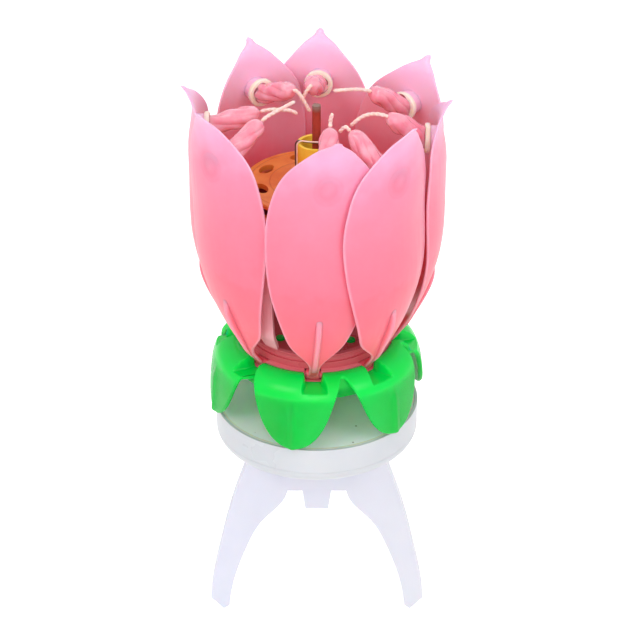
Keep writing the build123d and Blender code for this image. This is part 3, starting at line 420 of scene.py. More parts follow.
def moulded(name, code, second_code, gloss=(0.3, 0.38), patch=9.0, grain=0.35, relief=0.012, **sockets):
    """A finish of two near tones in soft patches, with a gloss that changes with them and a fine grain in
    its relief. Patch, grain and relief are in millimetres."""
    material, tree, shader = begin_material(name, **sockets)
    place = add_node(tree, "TexCoord").outputs["Object"]
    patches = add_node(tree, "TexNoise", {"Vector": place}, Scale=1000 / patch, Detail=3.0)
    tone = add_node(tree, "ValToRGB", {"Fac": patches})
    set_stops(tone, [(0.36, code), (0.64, second_code)])
    tree.links.new(tone.outputs["Color"], shader.inputs["Base Color"])
    vary_gloss(material, patches, gloss)
    grains = add_node(tree, "TexNoise", {"Vector": place}, Scale=1000 / grain, Detail=2.0)
    join_relief(material, grains, relief * mm, 0.6)
    return material


def object_axes(tree):
    """The object coordinates X, Y and Z in millimetres."""
    place = add_node(tree, "TexCoord").outputs["Object"]
    scaled = add_node(tree, "VectorMath", {0: place}, operation="SCALE", Scale=1000.0)
    return add_node(tree, "SeparateXYZ", {0: scaled}).outputs


def polar_axes(tree):
    """The radius in millimetres, the azimuth from the front towards +X in radians, and the height."""
    x, y, z = object_axes(tree)
    flat = add_node(tree, "CombineXYZ", {0: x, 1: y})
    radius = add_node(tree, "VectorMath", {0: flat}, operation="LENGTH").outputs["Value"]
    front = add_node(tree, "Math", {0: y}, operation="MULTIPLY", input_1=-1.0)
    azimuth = add_node(tree, "Math", {0: x, 1: front}, operation="ARCTAN2")
    return radius, azimuth, z


def petal_plastic():
    """Dyed translucent polypropylene, injection moulded. Its colour is painted light and shade by height:
    coral near the stem and lilac pink at the thin tip, lighter on the upper inside, for the glow of the
    light that goes through it, with a painted shade step at two fifths of its height, below which the pod
    shades it from within.
    The candle's stud left a round sink mark on its outer face, painted darker as shade in the dip, its
    edges and the ridge of its keel get a painted highlight, and faint streaks run along it."""
    material, tree, shader = begin_material(
        "petal_plastic", IOR=1.49, Subsurface_Weight=0.6, Subsurface_Scale=1.0 * mm,
        Subsurface_Radius=(1.0, 0.3, 0.38))
    local = add_node(tree, "Attribute", attribute_name="petal_place")
    across, along, inner = add_node(tree, "SeparateXYZ", {0: local.outputs["Vector"]}).outputs
    height = add_node(tree, "MapRange", {0: along}, input_2=petal_length / mm)
    drift = add_node(tree, "TexNoise", {"Vector": local.outputs["Vector"]}, Scale=0.16, Detail=3.0)
    wander = add_node(tree, "MapRange", {0: drift}, input_1=0.25, input_2=0.75, input_3=-0.035,
                      input_4=0.035)
    height = add_node(tree, "Math", {0: height, 1: wander}, operation="ADD")
    # Painted light: both ramps lighten towards the tip and on the upper inside, and the step between 0.39
    # and 0.42 is painted shade from the pod
    outside = add_node(tree, "ValToRGB", {"Fac": height})
    set_stops(outside, [(0.0, "#FF6070"), (0.2, "#FF6C7E"), (0.39, "#FF748A"), (0.42, "#FF7A92"),
                        (0.62, "#FF849E"), (0.8, "#FF90AE"), (0.93, "#FFAED2"), (1.0, "#FFC0E4")])
    inside = add_node(tree, "ValToRGB", {"Fac": height})
    set_stops(inside, [(0.0, "#FF5662"), (0.5, "#FF7082"), (0.7, "#FFA8BE"), (0.82, "#FFC8E0"),
                       (0.95, "#FFCCEC"), (1.0, "#FFCCEC")])
    mix = add_node(tree, "Mix", {0: inner, 6: outside.outputs["Color"], 7: inside.outputs["Color"]},
                   data_type="RGBA")
    tree.links.new(mix.outputs[2], shader.inputs["Base Color"])
    # Painted highlight: lighter pink near the edges, the tip and the keel's ridge
    rim = add_node(tree, "Attribute", attribute_name="petal_highlight_distance").outputs["Fac"]
    paint_over(material, rim, "#FFBCD2", 0.55 * mm, 0.15 * mm, 0.4)
    streaks_at = add_node(tree, "Mapping", {0: local.outputs["Vector"]}, input_3=(1.1, 0.09, 1.0))
    streaks = add_node(tree, "TexNoise", {"Vector": streaks_at}, Scale=1.0, Detail=4.0)
    vary_gloss(material, streaks, (0.3, 0.42))
    join_relief(material, streaks, 0.05 * mm, 0.5)
    flat = add_node(tree, "CombineXYZ", {0: across, 1: along})
    from_stud = add_node(tree, "VectorMath", {0: flat}, operation="DISTANCE",
                         input_1=(0, candle_station_share * petal_length / mm, 0)).outputs["Value"]
    outer_face = band(tree, inner, 0.0, 0.2)
    # The sink mark's rings are pressed in and painted darker: painted shade in the dip
    for ring_radius, half_width, depth, shade in ((1.7, 1.6, 0.1, 0.24), (3.1, 0.5, 0.04, 0.08)):
        ring = add_node(tree, "Math", {0: band(tree, from_stud, ring_radius, half_width), 1: outer_face},
                        operation="MULTIPLY")
        join_relief(material, ring, -depth * mm)
        paint_over(material, ring, "#EE5E7C", most=shade)
    return material


def calyx_plastic():
    """Bright green polypropylene, moulded glossy. Each lobe is a little darker on its midrib, and has a
    haze of fine marks that run down it and are too close together to show one by one."""
    material = moulded("calyx_plastic", "#00DE48", "#00E654", gloss=(0.2, 0.26), patch=14.0, relief=0.005,
                       IOR=1.49, Specular_IOR_Level=0.3, Subsurface_Weight=0.5,
                       Subsurface_Scale=2.2 * mm, Subsurface_Radius=(0.15, 1.0, 0.3))
    tree = material.node_tree
    radius, azimuth, z = polar_axes(tree)
    across = azimuth
    for operation, number in (("ADD", lobe_width / 2 - lobe_azimuth + 2 * pi), ("DIVIDE", lobe_width),
                              ("FRACT", 0.0), ("SUBTRACT", 0.5), ("MULTIPLY", lobe_width),
                              ("ABSOLUTE", 0.0)):
        across = add_node(tree, "Math", {0: across}, operation=operation, input_1=number)
    across = add_node(tree, "Math", {0: across, 1: radius}, operation="MULTIPLY")
    skirt = add_node(tree, "MapRange", {0: z}, input_1=73.5, input_2=71.5)
    midrib = add_node(tree, "Math", {0: band(tree, across, 0.0, midrib_half_width), 1: skirt},
                      operation="MULTIPLY")
    marks = add_node(tree, "Math", {0: across, 1: z, 2: z}, operation="MULTIPLY_ADD")
    for operation, number in (("DIVIDE", 2.4), ("FRACT", 0.0)):
        marks = add_node(tree, "Math", {0: marks}, operation=operation, input_1=number)
    marks = add_node(tree, "Math", {0: band(tree, marks, 0.5, 0.16), 1: skirt}, operation="MULTIPLY")
    join_relief(material, marks, 0.1 * mm)
    darker = add_node(tree, "Math", {0: midrib, 1: marks}, operation="MAXIMUM")
    paint_over(material, darker, "#00B43C", most=0.3)
    return material


def drum_lid():
    """Milky polystyrene, moulded smooth and glossy, with a thin yellowed seam where it was glued in and a
    few brown specks in the granulate."""
    material = moulded("lid_polystyrene", "#FFF9FF", "#FFFCFF", gloss=(0.16, 0.24), patch=16.0,
                       relief=0.004, IOR=1.59, Subsurface_Weight=0.5, Subsurface_Scale=2.0 * mm)
    tree = material.node_tree
    seam = band(tree, polar_axes(tree)[0], lid_seam_radius, 0.32)
    paint_over(material, seam, "#D8C68A", most=0.6)
    place = add_node(tree, "TexCoord").outputs["Object"]
    specks = add_node(tree, "TexVoronoi", {"Vector": place}, Scale=1000 / 6.5)
    paint_over(material, specks.outputs["Distance"], "#8A6A4A", 0.05, 0.025, 0.7)
    return material


def fork_plastic():
    """White high-impact polystyrene, moulded: a blue-white, with painted shade that greys it to the right,
    away from the light, and faint flow marks down the legs."""
    material = moulded("fork_polystyrene", "#DADBEA", "#E0E0EE", gloss=(0.3, 0.45), patch=11.0, relief=0.01,
                       IOR=1.59, Subsurface_Weight=0.15, Subsurface_Scale=1.2 * mm)
    tree = material.node_tree
    x, _, z = object_axes(tree)
    # Painted shade: greyer towards +X, the side the light falls on least
    paint_over(material, x, "#DCDCE2", -24.0, 26.0, 0.55)
    slow = add_node(tree, "Math", {0: z}, operation="MULTIPLY", input_1=0.12)
    stretched = add_node(tree, "CombineXYZ", {0: x, 2: slow})
    flow = add_node(tree, "TexNoise", {"Vector": stretched}, Scale=0.9, Detail=3.0)
    join_relief(material, flow, 0.05 * mm, 0.4)
    return material


def drum_plastic():
    """White polystyrene, moulded: smooth with a faint parting line round its rounded lower edge."""
    material = moulded("drum_polystyrene", "#CDD0D6", "#D3D5DA", gloss=(0.26, 0.36), patch=13.0,
                       relief=0.008, IOR=1.59, Subsurface_Weight=0.15, Subsurface_Scale=1.2 * mm)
    tree = material.node_tree
    line = band(tree, object_axes(tree)[2], drum_parting_height, 0.12)
    join_relief(material, line, 0.06 * mm)
    paint_over(material, line, "#B8BBC2", most=0.25)
    return material


def pod_plastic():
    """Orange plastic of the seed plate, dull and a little blotchy, with two turned steps."""
    material = moulded("pod_plastic", "#EF8034", "#FF9A46", gloss=(0.34, 0.46), patch=5.0, relief=0.014,
                       IOR=1.5, Subsurface_Weight=0.2, Subsurface_Scale=0.9 * mm)
    tree = material.node_tree
    radius = polar_axes(tree)[0]
    for step_radius in plate_step_radii:
        line = band(tree, radius, step_radius, 0.22)
        join_relief(material, line, -0.08 * mm)
        paint_over(material, line, "#B8481E", most=0.4)
    return material


def pod_shell():
    """The pod under its plate: moulded plastic with an orange rim, painted dark red below it as the shade
    inside the bud.
    """
    # Painted shade: the dark red tones stand in for the shade inside the bud
    material = moulded("pod_shell_plastic", "#8E1C18", "#A62A20", gloss=(0.32, 0.42), patch=7.0, IOR=1.5)
    rim_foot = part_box("pod_body")[1][2] / mm - pod_rim_thickness
    paint_over(material, object_axes(material.node_tree)[2], "#F08838", rim_foot - 0.2, rim_foot + 0.2)
    return material


def hub_plastic():
    """Pink polypropylene, moulded satin, painted dark red inside the cup's foot as the shade there."""
    material = moulded("hub_plastic", "#EE7884", "#F48A94", patch=8.0, IOR=1.49, Subsurface_Weight=0.1,
                       Subsurface_Scale=0.6 * mm)
    radius = polar_axes(material.node_tree)[0]
    # Painted shade: dark red inside the cup's foot radius
    paint_over(material, radius, inside_shade_red, inside_shade_radius + 0.3, inside_shade_radius - 0.3)
    return material


def cup_plastic():
    """Pale pink translucent polypropylene, moulded satin: deeper coral round its foot, and painted dark red
    shade on the faces that look at the axis, inside the bud."""
    material = moulded("cup_plastic", "#F8A8B4", "#FCB8C2", gloss=(0.24, 0.34), patch=8.0, IOR=1.49,
                       Subsurface_Weight=0.25, Subsurface_Scale=0.7 * mm,
                       Subsurface_Radius=(1.0, 0.5, 0.55))
    tree = material.node_tree
    x, y, z = object_axes(tree)
    ring_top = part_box("inner_cup")[0][2] / mm + cup_ring_height
    paint_over(material, z, "#D4606A", ring_top + 0.6, ring_top - 0.2)
    flat = add_node(tree, "CombineXYZ", {0: x, 1: y})
    way = add_node(tree, "VectorMath", {0: flat}, operation="NORMALIZE")
    faces = add_node(tree, "TexCoord").outputs["Normal"]
    towards = add_node(tree, "VectorMath", {0: way, 1: faces}, operation="DOT_PRODUCT")
    # Painted shade: dark red on the faces that look towards the axis
    paint_over(material, towards.outputs["Value"], inside_shade_red, -0.5, -0.7)
    return material


def tube_paper():
    """Wound yellow paper, varnished: the strip's edge shows as a spiral step, over a fibrous grain."""
    material = moulded("tube_paper", "#FFC830", "#FFD646", gloss=(0.42, 0.55), patch=4.0, grain=0.22,
                       relief=0.02)
    tree = material.node_tree
    _, azimuth, z = polar_axes(tree)
    turns = add_node(tree, "Math", {0: azimuth}, operation="DIVIDE", input_1=2 * pi)
    climb = add_node(tree, "Math", {0: z}, operation="DIVIDE", input_1=7.5)
    spiral = add_node(tree, "Math", {0: turns, 1: climb}, operation="SUBTRACT")
    spiral = add_node(tree, "Math", {0: spiral}, operation="FRACT")
    join_relief(material, spiral, 0.12 * mm)
    paint_over(material, spiral, "#B8801C", 0.04, 0.0, 0.35)
    return material


def fuse_paper():
    """Brown-red waxed paper stick, fibrous, whose tip is dusted grey with powder."""
    material = moulded("fuse_paper", "#98301E", "#B03C28", gloss=(0.5, 0.7), patch=1.6, grain=0.25,
                       relief=0.04)
    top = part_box("fuse")[1][2] / mm
    paint_over(material, object_axes(material.node_tree)[2], "#8A7A70", top - 1.5, top - 0.4, 0.75)
    return material


def drawn_metal(name, code, second_code, gloss, scratch):
    """Bare metal with fine marks along its longest run, from the die or the rolls."""
    material = moulded(name, code, second_code, gloss=gloss, patch=2.5, grain=0.3, relief=0.004,
                       Metallic=1.0)
    tree = material.node_tree
    x, y, _ = object_axes(tree)
    marks_at = add_node(tree, "CombineXYZ", {0: x, 1: y})
    marks = add_node(tree, "TexNoise", {"Vector": marks_at}, Scale=1 / scratch, Detail=3.0)
    join_relief(material, marks, 0.01 * mm, 0.5)
    return material


def board_lacquer():
    """Green solder lacquer over glass fibre, with tinned pads in a grid."""
    material = moulded("board_lacquer", "#1A5E2E", "#22703A", gloss=(0.2, 0.3), patch=4.0)
    tree = material.node_tree
    place = add_node(tree, "TexCoord").outputs["Object"]
    pads = add_node(tree, "TexVoronoi", {"Vector": place}, Scale=1000 / 2.54, Randomness=0.0)
    paint_over(material, pads.outputs["Distance"], "#C8C8C0", 0.2, 0.16, 0.9)
    return material


materials = {
    "petal": petal_plastic(),
    "calyx": calyx_plastic(),
    "lid": drum_lid(),
    "fork": fork_plastic(),
    "drum": drum_plastic(),
    "pod": pod_plastic(),
    "pod_shell": pod_shell(),
    "tube": tube_paper(),
    "fuse": fuse_paper(),
    "board": board_lacquer(),
    "hub": hub_plastic(),
    "cup": cup_plastic(),
    # Pink paraffin wax, dipped: light goes deep into it, and its skin is glossy with a few slow marks
    "wax": moulded("candle_wax", "#FF96AA", "#FFB0C0", gloss=(0.08, 0.18), patch=2.6, grain=0.6,
                   relief=0.03, IOR=1.44, Subsurface_Weight=0.7, Subsurface_Scale=1.8 * mm,
                   Subsurface_Radius=(1.0, 0.4, 0.45), Coat_Weight=0.35, Coat_Roughness=0.1),
    # Bleached cotton string, waxed, dull and pinkish from the wax
    "wick": moulded("wick_cotton", "#FFD2C8", "#FFE4DC", gloss=(0.55, 0.75), patch=0.9, grain=0.14,
                    relief=0.04, Subsurface_Weight=0.3, Subsurface_Scale=0.5 * mm),
    # Cream polyethylene, moulded soft and slightly waxy
    "seat": moulded("seat_plastic", "#FFECD8", "#FFF4E6", gloss=(0.34, 0.44), patch=3.0, IOR=1.51,
                    Subsurface_Weight=0.4, Subsurface_Scale=1.0 * mm),
    # Pressed grey powder, rough and crumbly
    "charge": moulded("pressed_charge", "#4E4844", "#6A625C", gloss=(0.85, 0.95), patch=0.8, grain=0.3,
                      relief=0.15),
    # Acetal, moulded natural white and slippery
    "gear": moulded("gear_acetal", "#E6E6E0", "#EEEEEA", patch=5.0, IOR=1.48, Subsurface_Weight=0.2,
                    Subsurface_Scale=0.8 * mm),
    "steel": drawn_metal("drawn_steel", "#7E7E82", "#94949A", (0.28, 0.42), 0.12),
    "brass": drawn_metal("rolled_brass", "#BE9648", "#D0A858", (0.24, 0.38), 0.2),
}

finish_of_node = {
    "stand": "fork", "base_cup": "drum", "base_lid": "lid", "spindle": "steel", "motor": "steel",
    "idler_pin": "steel", "button_cell_1": "steel", "button_cell_2": "steel", "button_cell_3": "steel",
    "battery_contact_lower": "brass", "battery_contact_upper": "brass", "sound_disc": "brass",
    "circuit_board": "board", "drive_gear": "gear", "idler_gear": "gear", "motor_pinion": "brass",
    "petal_hub": "hub", "inner_cup": "cup", "pod_body": "pod_shell", "pod_plate": "pod",
    "fountain_tube": "tube", "fountain_core": "charge", "fuse": "fuse", "trigger_wire": "steel",
    "tie_thread": "wick",
}
for node, finish in finish_of_node.items():
    nodes[node].data.materials.clear()
    nodes[node].data.materials.append(materials[finish])


# Calyx
def calyx_edge_height(azimuth):
    """The height of the lobes' lower edge at an azimuth: a smooth curve through its stations, from the top
    of a notch to the tip of a lobe, mirrored about both."""
    from_notch = np.abs((azimuth - lobe_azimuth) % lobe_width - lobe_width / 2)
    reach = np.sin(from_notch) / sin(lobe_width / 2)
    before = lobe_edge_shares[2:0:-1] * (-1, 1)
    after = lobe_edge_shares[-2:-4:-1] * (-1, 1) + (2, 0)
    stations = np.concatenate([before, lobe_edge_shares, after])
    share = cubic_through(*stations.T, reach)
    return lobe_tip_height + share * (notch_top_height - lobe_tip_height)


def calyx_skirt():
    """The rim, shoulder and lobed skirt as one ring of cross-sections round the axis. Each section runs
    down the outer profile as far as the lobes' edge at its azimuth, round the edge, back up the inner
    profile, which is a wall inside the outer one, and round the ring under the rim. A midrib stands out
    from each lobe as a bell curve. Under each petal's stem a groove lowers the points to its floor, and
    those of the inner profile to a wall under it, with sides that open outwards and blend on a cubic."""
    azimuth = np.linspace(0, 2 * pi, calyx_azimuths, endpoint=False)
    run = np.concatenate([[0], np.cumsum(np.hypot(*np.diff(calyx_profile, axis=0).T))])
    run = run / run[-1]
    fine = np.linspace(0, 1, 400)
    outer = np.stack([cubic_through(run, values, fine) for values in calyx_profile.T], axis=1)
    slope = np.gradient(outer, axis=0)
    slope /= np.linalg.norm(slope, axis=1, keepdims=True)
    inner = outer + calyx_wall * np.stack([slope[:, 1], -slope[:, 0]], axis=1)
    edge_height = calyx_edge_height(azimuth)
    edge_at = np.interp(-edge_height, -outer[:, 1], fine)
    inner_at = np.maximum(edge_at, calyx_inner_start + 0.002)

    def along(curve, shares):
        return np.stack([np.interp(shares, fine, values) for values in curve.T], axis=-1)

    outside = along(outer, edge_at[:, None] * np.linspace(0, 1, calyx_outer_rows))
    from_lobe = (azimuth - lobe_azimuth + lobe_width / 2) % lobe_width - lobe_width / 2
    from_rib = outside[..., 0] * np.sin(from_lobe)[:, None] / midrib_half_width
    below = np.clip((midrib_top_height - outside[..., 1]) / midrib_fade, 0, 1)
    outside[..., 0] += midrib_height * np.exp(-from_rib ** 2) * below
    back_up = np.linspace(0, 1, calyx_inner_rows)
    inside = along(inner, inner_at[:, None] + (calyx_inner_start - inner_at[:, None]) * back_up)
    last, first = outside[:, -1:], inside[:, :1]
    middle, half = (last + first) / 2, (first - last) / 2
    heading = along(slope, edge_at)[:, None]
    turn_round = np.linspace(0, pi, calyx_edge_rows + 2)[1:-1, None]
    bulge = np.minimum(np.linalg.norm(half, axis=2, keepdims=True), calyx_wall / 2)
    edge = middle - half * np.cos(turn_round) + heading * bulge * np.sin(turn_round)
    ring = np.broadcast_to(calyx_ring_corners, (len(azimuth), *calyx_ring_corners.shape))
    section = np.concatenate([outside, edge, inside, ring], axis=1)
    radius, height = section[..., 0], section[..., 1]
    under = np.zeros(section.shape[1])
    under[calyx_outer_rows + calyx_edge_rows:1 - len(calyx_ring_corners)] = calyx_wall
    x, y = radius * np.sin(azimuth)[:, None], -radius * np.cos(azimuth)[:, None]
    for number in range(petal_count):
        joint = joints[f"petal_{number + 1}_open"]
        pivot, tangent = np.array(joint["pos_m"]) / mm, np.array(joint["axis"])
        angle = radians(groove_turn_share * (petal_skews[number] + petal_leans[number]))
        groove_way = np.array([tangent[1], -tangent[0]]) * cos(angle) + tangent[:2] * sin(angle)
        out = (x - pivot[0]) * groove_way[0] + (y - pivot[1]) * groove_way[1]
        across = np.abs((y - pivot[1]) * groove_way[0] - (x - pivot[0]) * groove_way[1])
        half_width = groove_half_width + groove_spread * np.maximum(out - groove_straight, 0)
        side = np.clip((across - half_width) / groove_blend, 0, 1)
        level = groove_floor + side ** 2 * (3 - 2 * side) * (calyx_profile[0, 1] - groove_floor) - under
        height = np.where((out > 0) & (side < 1), np.minimum(height, level), height)
    points = np.stack([x, y, height], axis=2).reshape(-1, 3) * mm
    return points, [outward(points, grid_quads(len(azimuth), section.shape[1], wrap_rows=True))]


def make_calyx():
    """The lobed skirt, the flat ring of its floor, and the stakes that hold the hub and the cup."""
    middle = np.array([(floor_radius + floor_bore_radius) / 2, floor_height + floor_thickness / 2]) * mm
    half = np.array([(floor_radius - floor_bore_radius) / 2, floor_thickness / 2]) * mm
    floor = turned_ring(middle, half, (0.15, 0.3), (24, 96), np.zeros(3), (0, 0, 1), (1, 0, 0))
    shells = [calyx_skirt(), floor]
    for stake in range(stake_count):
        angle = stake_azimuth + stake * 2 * pi / stake_count
        foot = np.array([stake_orbit * sin(angle), -stake_orbit * cos(angle), stake_foot])
        head = np.array([foot[0], foot[1], stake_top])
        shells.append(round_rod(foot * mm, head * mm, stake_radius * mm, stake_bevel * mm))
    make_piece("calyx_moulding", "flower", "calyx", materials["calyx"], shells, crease=50.0)


make_calyx()


# Petals
def turn(axis, degrees_turned):
    """The rotation matrix about a coordinate axis."""
    c, s = cos(radians(degrees_turned)), sin(radians(degrees_turned))
    first, second = [(1, 2), (2, 0), (0, 1)]["XYZ".index(axis)]
    matrix = np.eye(3)
    matrix[first, first] = matrix[second, second] = c
    matrix[first, second] = -s
    matrix[second, first] = s
    return matrix


def petal_frame(number):
    """A petal's hinge point, the matrix whose columns are its own X, Y and Z, and its candle's foot. The
    matrix turns it round its own Z by its skew, leans and opens it, and turns it to its hinge's azimuth.
    The foot is the standoff inside the wall at the candle's station."""
    joint = joints[f"petal_{number + 1}_open"]
    tangent = joint["axis"]
    outwards = turn("Z", np.degrees(atan2(tangent[1], tangent[0])) - 90.0)
    opened = turn("Y", petal_openings[number]) @ turn("X", -petal_leans[number])
    origin, axes = np.array(joint["pos_m"]), outwards @ opened @ turn("Z", petal_skews[number])
    outside = petal_bulge * np.interp(candle_station_share, *petal_station_shares.T[:2])
    foot = np.array([outside - petal_wall - candle_standoff, swept_side(number, candle_station_share),
                     candle_station_share * petal_length])
    return origin, axes, origin + axes @ foot


def petal_shares_at(height_share):
    """Bulge, half width and wall of the petal at shares of its height, on cubics through its stations."""
    places, *columns = petal_station_shares.T
    return [cubic_through(places, values, height_share) for values in columns]


def swept_side(number, height_share):
    """How far a petal has gone to its side at shares of its height: its sweep times the square of the
    share gone since the sweep's start."""
    gone = np.maximum(0, height_share - sweep_start_share) / (1 - sweep_start_share)
    return petal_sweeps[number] * mm * gone ** 2


def petal_blade(number):
    """The blade as rings along its height. Each ring runs along the outer arc, which is centred on the
    petal's curve, round a half-circle edge, back along the inner face and round the other edge. The wall
    thins towards the edges with the square of the distance from the middle, and the rings shrink on a
    quarter circle at both ends. With the rings come each point's place, which is how far it is across and
    along the petal in millimetres and from 0 outside to 1 inside, and its distance from the rim."""
    height_share = np.linspace(0.0, 1.0, petal_rows)
    bulge_share, width_share, wall_share = petal_shares_at(height_share)
    from_end = np.minimum(height_share, 1 - height_share) * petal_length + petal_end_flat
    shrink = np.sqrt(1 - (1 - np.minimum(from_end / petal_end_round, 1.0)) ** 2)
    wall = wall_share * petal_wall * shrink
    edge = petal_edge_share * wall / 2
    half_width = width_share * petal_half_width * shrink - edge
    arc_centre = petal_bulge - petal_curve_radius
    arc_radius = bulge_share * petal_bulge - arc_centre
    side = swept_side(number, height_share)

    across = np.linspace(-1, 1, petal_columns)
    half_turn = np.linspace(0, pi, petal_edge_columns + 2)[1:-1]
    outer_y = half_width[:, None] * across
    outer_x = arc_centre + np.sqrt(arc_radius[:, None] ** 2 - outer_y ** 2)
    thickness = wall[:, None] * (petal_edge_share + (1 - petal_edge_share) * (1 - across ** 2))
    inner_x = outer_x - thickness
    right_x = outer_x[:, -1:] - edge[:, None] * (1 - np.cos(half_turn))
    right_y = outer_y[:, -1:] + edge[:, None] * np.sin(half_turn)
    left_x = outer_x[:, :1] - edge[:, None] * (1 + np.cos(half_turn))
    left_y = outer_y[:, :1] - edge[:, None] * np.sin(half_turn)
    x = np.concatenate([outer_x, right_x, inner_x[:, ::-1], left_x], axis=1)
    y = np.concatenate([outer_y, right_y, outer_y[:, ::-1], left_y], axis=1) + side[:, None]
    z = np.repeat(height_share[:, None] * petal_length, x.shape[1], axis=1)
    inwards = half_turn / pi
    inner_side = np.concatenate([np.zeros(petal_columns), inwards, np.ones(petal_columns), inwards[::-1]])
    place = np.stack([(y - side[:, None]) / mm, z / mm, np.tile(inner_side, (petal_rows, 1))], axis=2)
    from_edge = half_width[:, None] + edge[:, None] - np.abs(y - side[:, None])
    rim = np.minimum(from_edge, petal_length - z + petal_tip_rim)
    return np.stack([x, y, z], axis=2), place, rim


def petal_keel():
    """The keel as rings along the petal: a trapezoid on the outer face whose height follows its stations
    and runs out in the blade."""
    places, heights = keel_station_shares.T
    height_share = np.linspace(places[0], places[-1], keel_rows)
    outside = petal_shares_at(height_share)[0] * petal_bulge
    rise = np.maximum(0, cubic_through(places, heights, height_share)) * keel_height
    corner = np.linspace(0, pi, keel_columns)
    round_share = keel_top_share + (1 - keel_top_share) * (1 - np.sin(corner))
    y = -np.cos(corner)[None, :] * round_share * keel_half_width
    lift = np.sin(corner) ** 0.5
    x = outside[:, None] - keel_root + (rise + keel_root)[:, None] * lift[None, :]
    z = np.repeat(height_share[:, None] * petal_length, keel_columns, axis=1)
    return np.stack([x, np.broadcast_to(y, x.shape), z], axis=2)


def make_petal(number):
    """Blade, keel, hinge knuckle with its trunnions, and the candle's stud and spigot. The ridge of the
    keel counts as rim, so that it gets the painted highlight as the rim does."""
    origin, axes, foot = petal_frame(number)
    blade, blade_place, blade_highlight_distance = petal_blade(number)
    keel = petal_keel()
    tangent = np.array(joints[f"petal_{number + 1}_open"]["axis"])
    inwards = -axes[:, 0]
    stud_back = foot - inwards * (candle_standoff + stud_root_share * petal_wall)
    stud_face = foot - inwards * seat_thickness
    rods = [
        (origin - tangent * knuckle_half_width, origin + tangent * knuckle_half_width, knuckle_radius),
        (origin - tangent * trunnion_half_width, origin + tangent * trunnion_half_width, trunnion_radius),
        (stud_back, stud_face, stud_radius),
        (stud_face - inwards * petal_wall / 2, stud_face + inwards * spigot_length, spigot_radius),
    ]
    shells = [closed_tube(origin + rings @ axes.T) for rings in (blade, keel)]
    shells += [round_rod(start, end, radius, rod_bevel) for start, end, radius in rods]
    poles = np.stack([blade_place[0].mean(axis=0), blade_place[-1].mean(axis=0)])
    others = (np.concatenate([points for points, _ in shells[1:]]) - origin) @ axes
    on_the_inside = np.zeros(len(others))
    on_the_inside[sum(len(points) for points, _ in shells[1:4]):] = 1.0
    others = np.stack([others[:, 1] / mm, others[:, 2] / mm, on_the_inside], axis=1)
    ridge = (keel[..., 1] / keel_half_width) ** 2 * keel_light_depth
    far_from_highlight = np.full(len(others) - ridge.size, petal_half_width)
    fields = {
        "petal_place": np.concatenate([blade_place.reshape(-1, 3), poles, others]),
        "petal_highlight_distance": np.concatenate([blade_highlight_distance.ravel(), np.zeros(2), ridge.ravel(), far_from_highlight]),
    }
    make_piece(f"petal_{number + 1}_moulding", f"petal_{number + 1}_body", f"petal_{number + 1}",
               materials["petal"], shells, fields)


# Candles, their seats and wicks
def candle_direction(number, axes):
    """The way a candle points: inwards from the petal, turned sideways by one angle and raised by another,
    with the cosines and sines of both as its parts along the petal's axes."""
    side, rise = radians(candle_turns[number]), radians(candle_rises[number])
    return axes @ np.array([-cos(rise) * cos(side), cos(rise) * sin(side), sin(rise)])


def make_seat(number):
    """The moulded ring behind the candle's foot."""
    _, axes, foot = petal_frame(number)
    middle = ((seat_radius + seat_bore_radius) / 2, -seat_thickness / 2)
    half = ((seat_radius - seat_bore_radius) / 2, seat_thickness / 2)
    powers = (seat_squareness, seat_squareness)
    ring = turned_ring(middle, half, powers, (28, 64), foot, -axes[:, 0], axes[:, 1])
    make_piece(f"candle_seat_{number + 1}_ring", f"petal_{number + 1}_body", f"candle_seat_{number + 1}",
               materials["seat"], [ring])


def make_candle(number):
    """A twisted candle: a circle with five rounded strands that turn with its length, lumps that run
    across them as slow waves, a softened end, and a foot cut flat by moving every point that is behind
    the seat along the candle to the seat's face."""
    _, axes, foot = petal_frame(number)
    direction = candle_direction(number, axes)
    length = candle_lengths[number] * mm
    side = np.cross(direction, axes[:, 2])
    side /= np.linalg.norm(side)
    other = np.cross(direction, side)
    height = np.linspace(-candle_radius, length, candle_rows)
    share = np.clip(height / length, 0, 1)
    base = cubic_through(*candle_station_shares.T, share) * candle_radius
    from_end = np.clip((length - height) / candle_end_round, 0.02, 1)
    base = base * np.sqrt(1 - (1 - from_end) ** 2)
    angle = np.linspace(0, 2 * pi, candle_columns, endpoint=False)
    twist = candle_twist_per_length * height
    strand = np.abs(np.cos(candle_flutes * (angle[None, :] - twist[:, None]) / 2)) ** 0.8
    softening = np.clip((length - height) / candle_softening, 0, 1)[:, None]
    lumps = sum(size * np.sin(waves * angle[None, :] + climb * height[:, None] + shift * number)
                for size, waves, climb, shift in candle_lumps)
    flute = candle_flute_depth * (0.25 + 0.75 * softening)
    radius = (base[:, None] - flute * (1 - strand) * (base / candle_radius)[:, None]) * (0.96 + lumps)
    around = np.outer(np.cos(angle), side) + np.outer(np.sin(angle), other)
    rings = foot + height[:, None, None] * direction + radius[..., None] * around
    inwards = -axes[:, 0]
    behind = np.minimum((rings - foot) @ inwards, 0)
    rings = rings - (behind / (direction @ inwards))[..., None] * direction
    make_piece(f"candle_{number + 1}_wax", f"petal_{number + 1}_body", f"candle_{number + 1}",
               materials["wax"], [closed_tube(rings)])


def route_curve(points):
    """The points along the smooth line of a route, read from a NURBS spline with the route's points as its
    control points."""
    data = bpy.data.curves.new("route", "CURVE")
    data.dimensions = "3D"
    spline = data.splines.new("NURBS")
    spline.points.add(len(points) - 1)
    spline.points.foreach_set("co", np.concatenate([points, np.ones((len(points), 1))], axis=1).ravel())
    spline.order_u = 3
    spline.use_endpoint_u = True
    spline.resolution_u = 14
    holder = bpy.data.objects.new("route", data)
    mesh = bpy.data.meshes.new_from_object(holder)
    line = np.zeros(3 * len(mesh.vertices))
    mesh.vertices.foreach_get("co", line)
    bpy.data.objects.remove(holder)
    bpy.data.curves.remove(data)
    bpy.data.meshes.remove(mesh)
    return line.reshape(-1, 3)


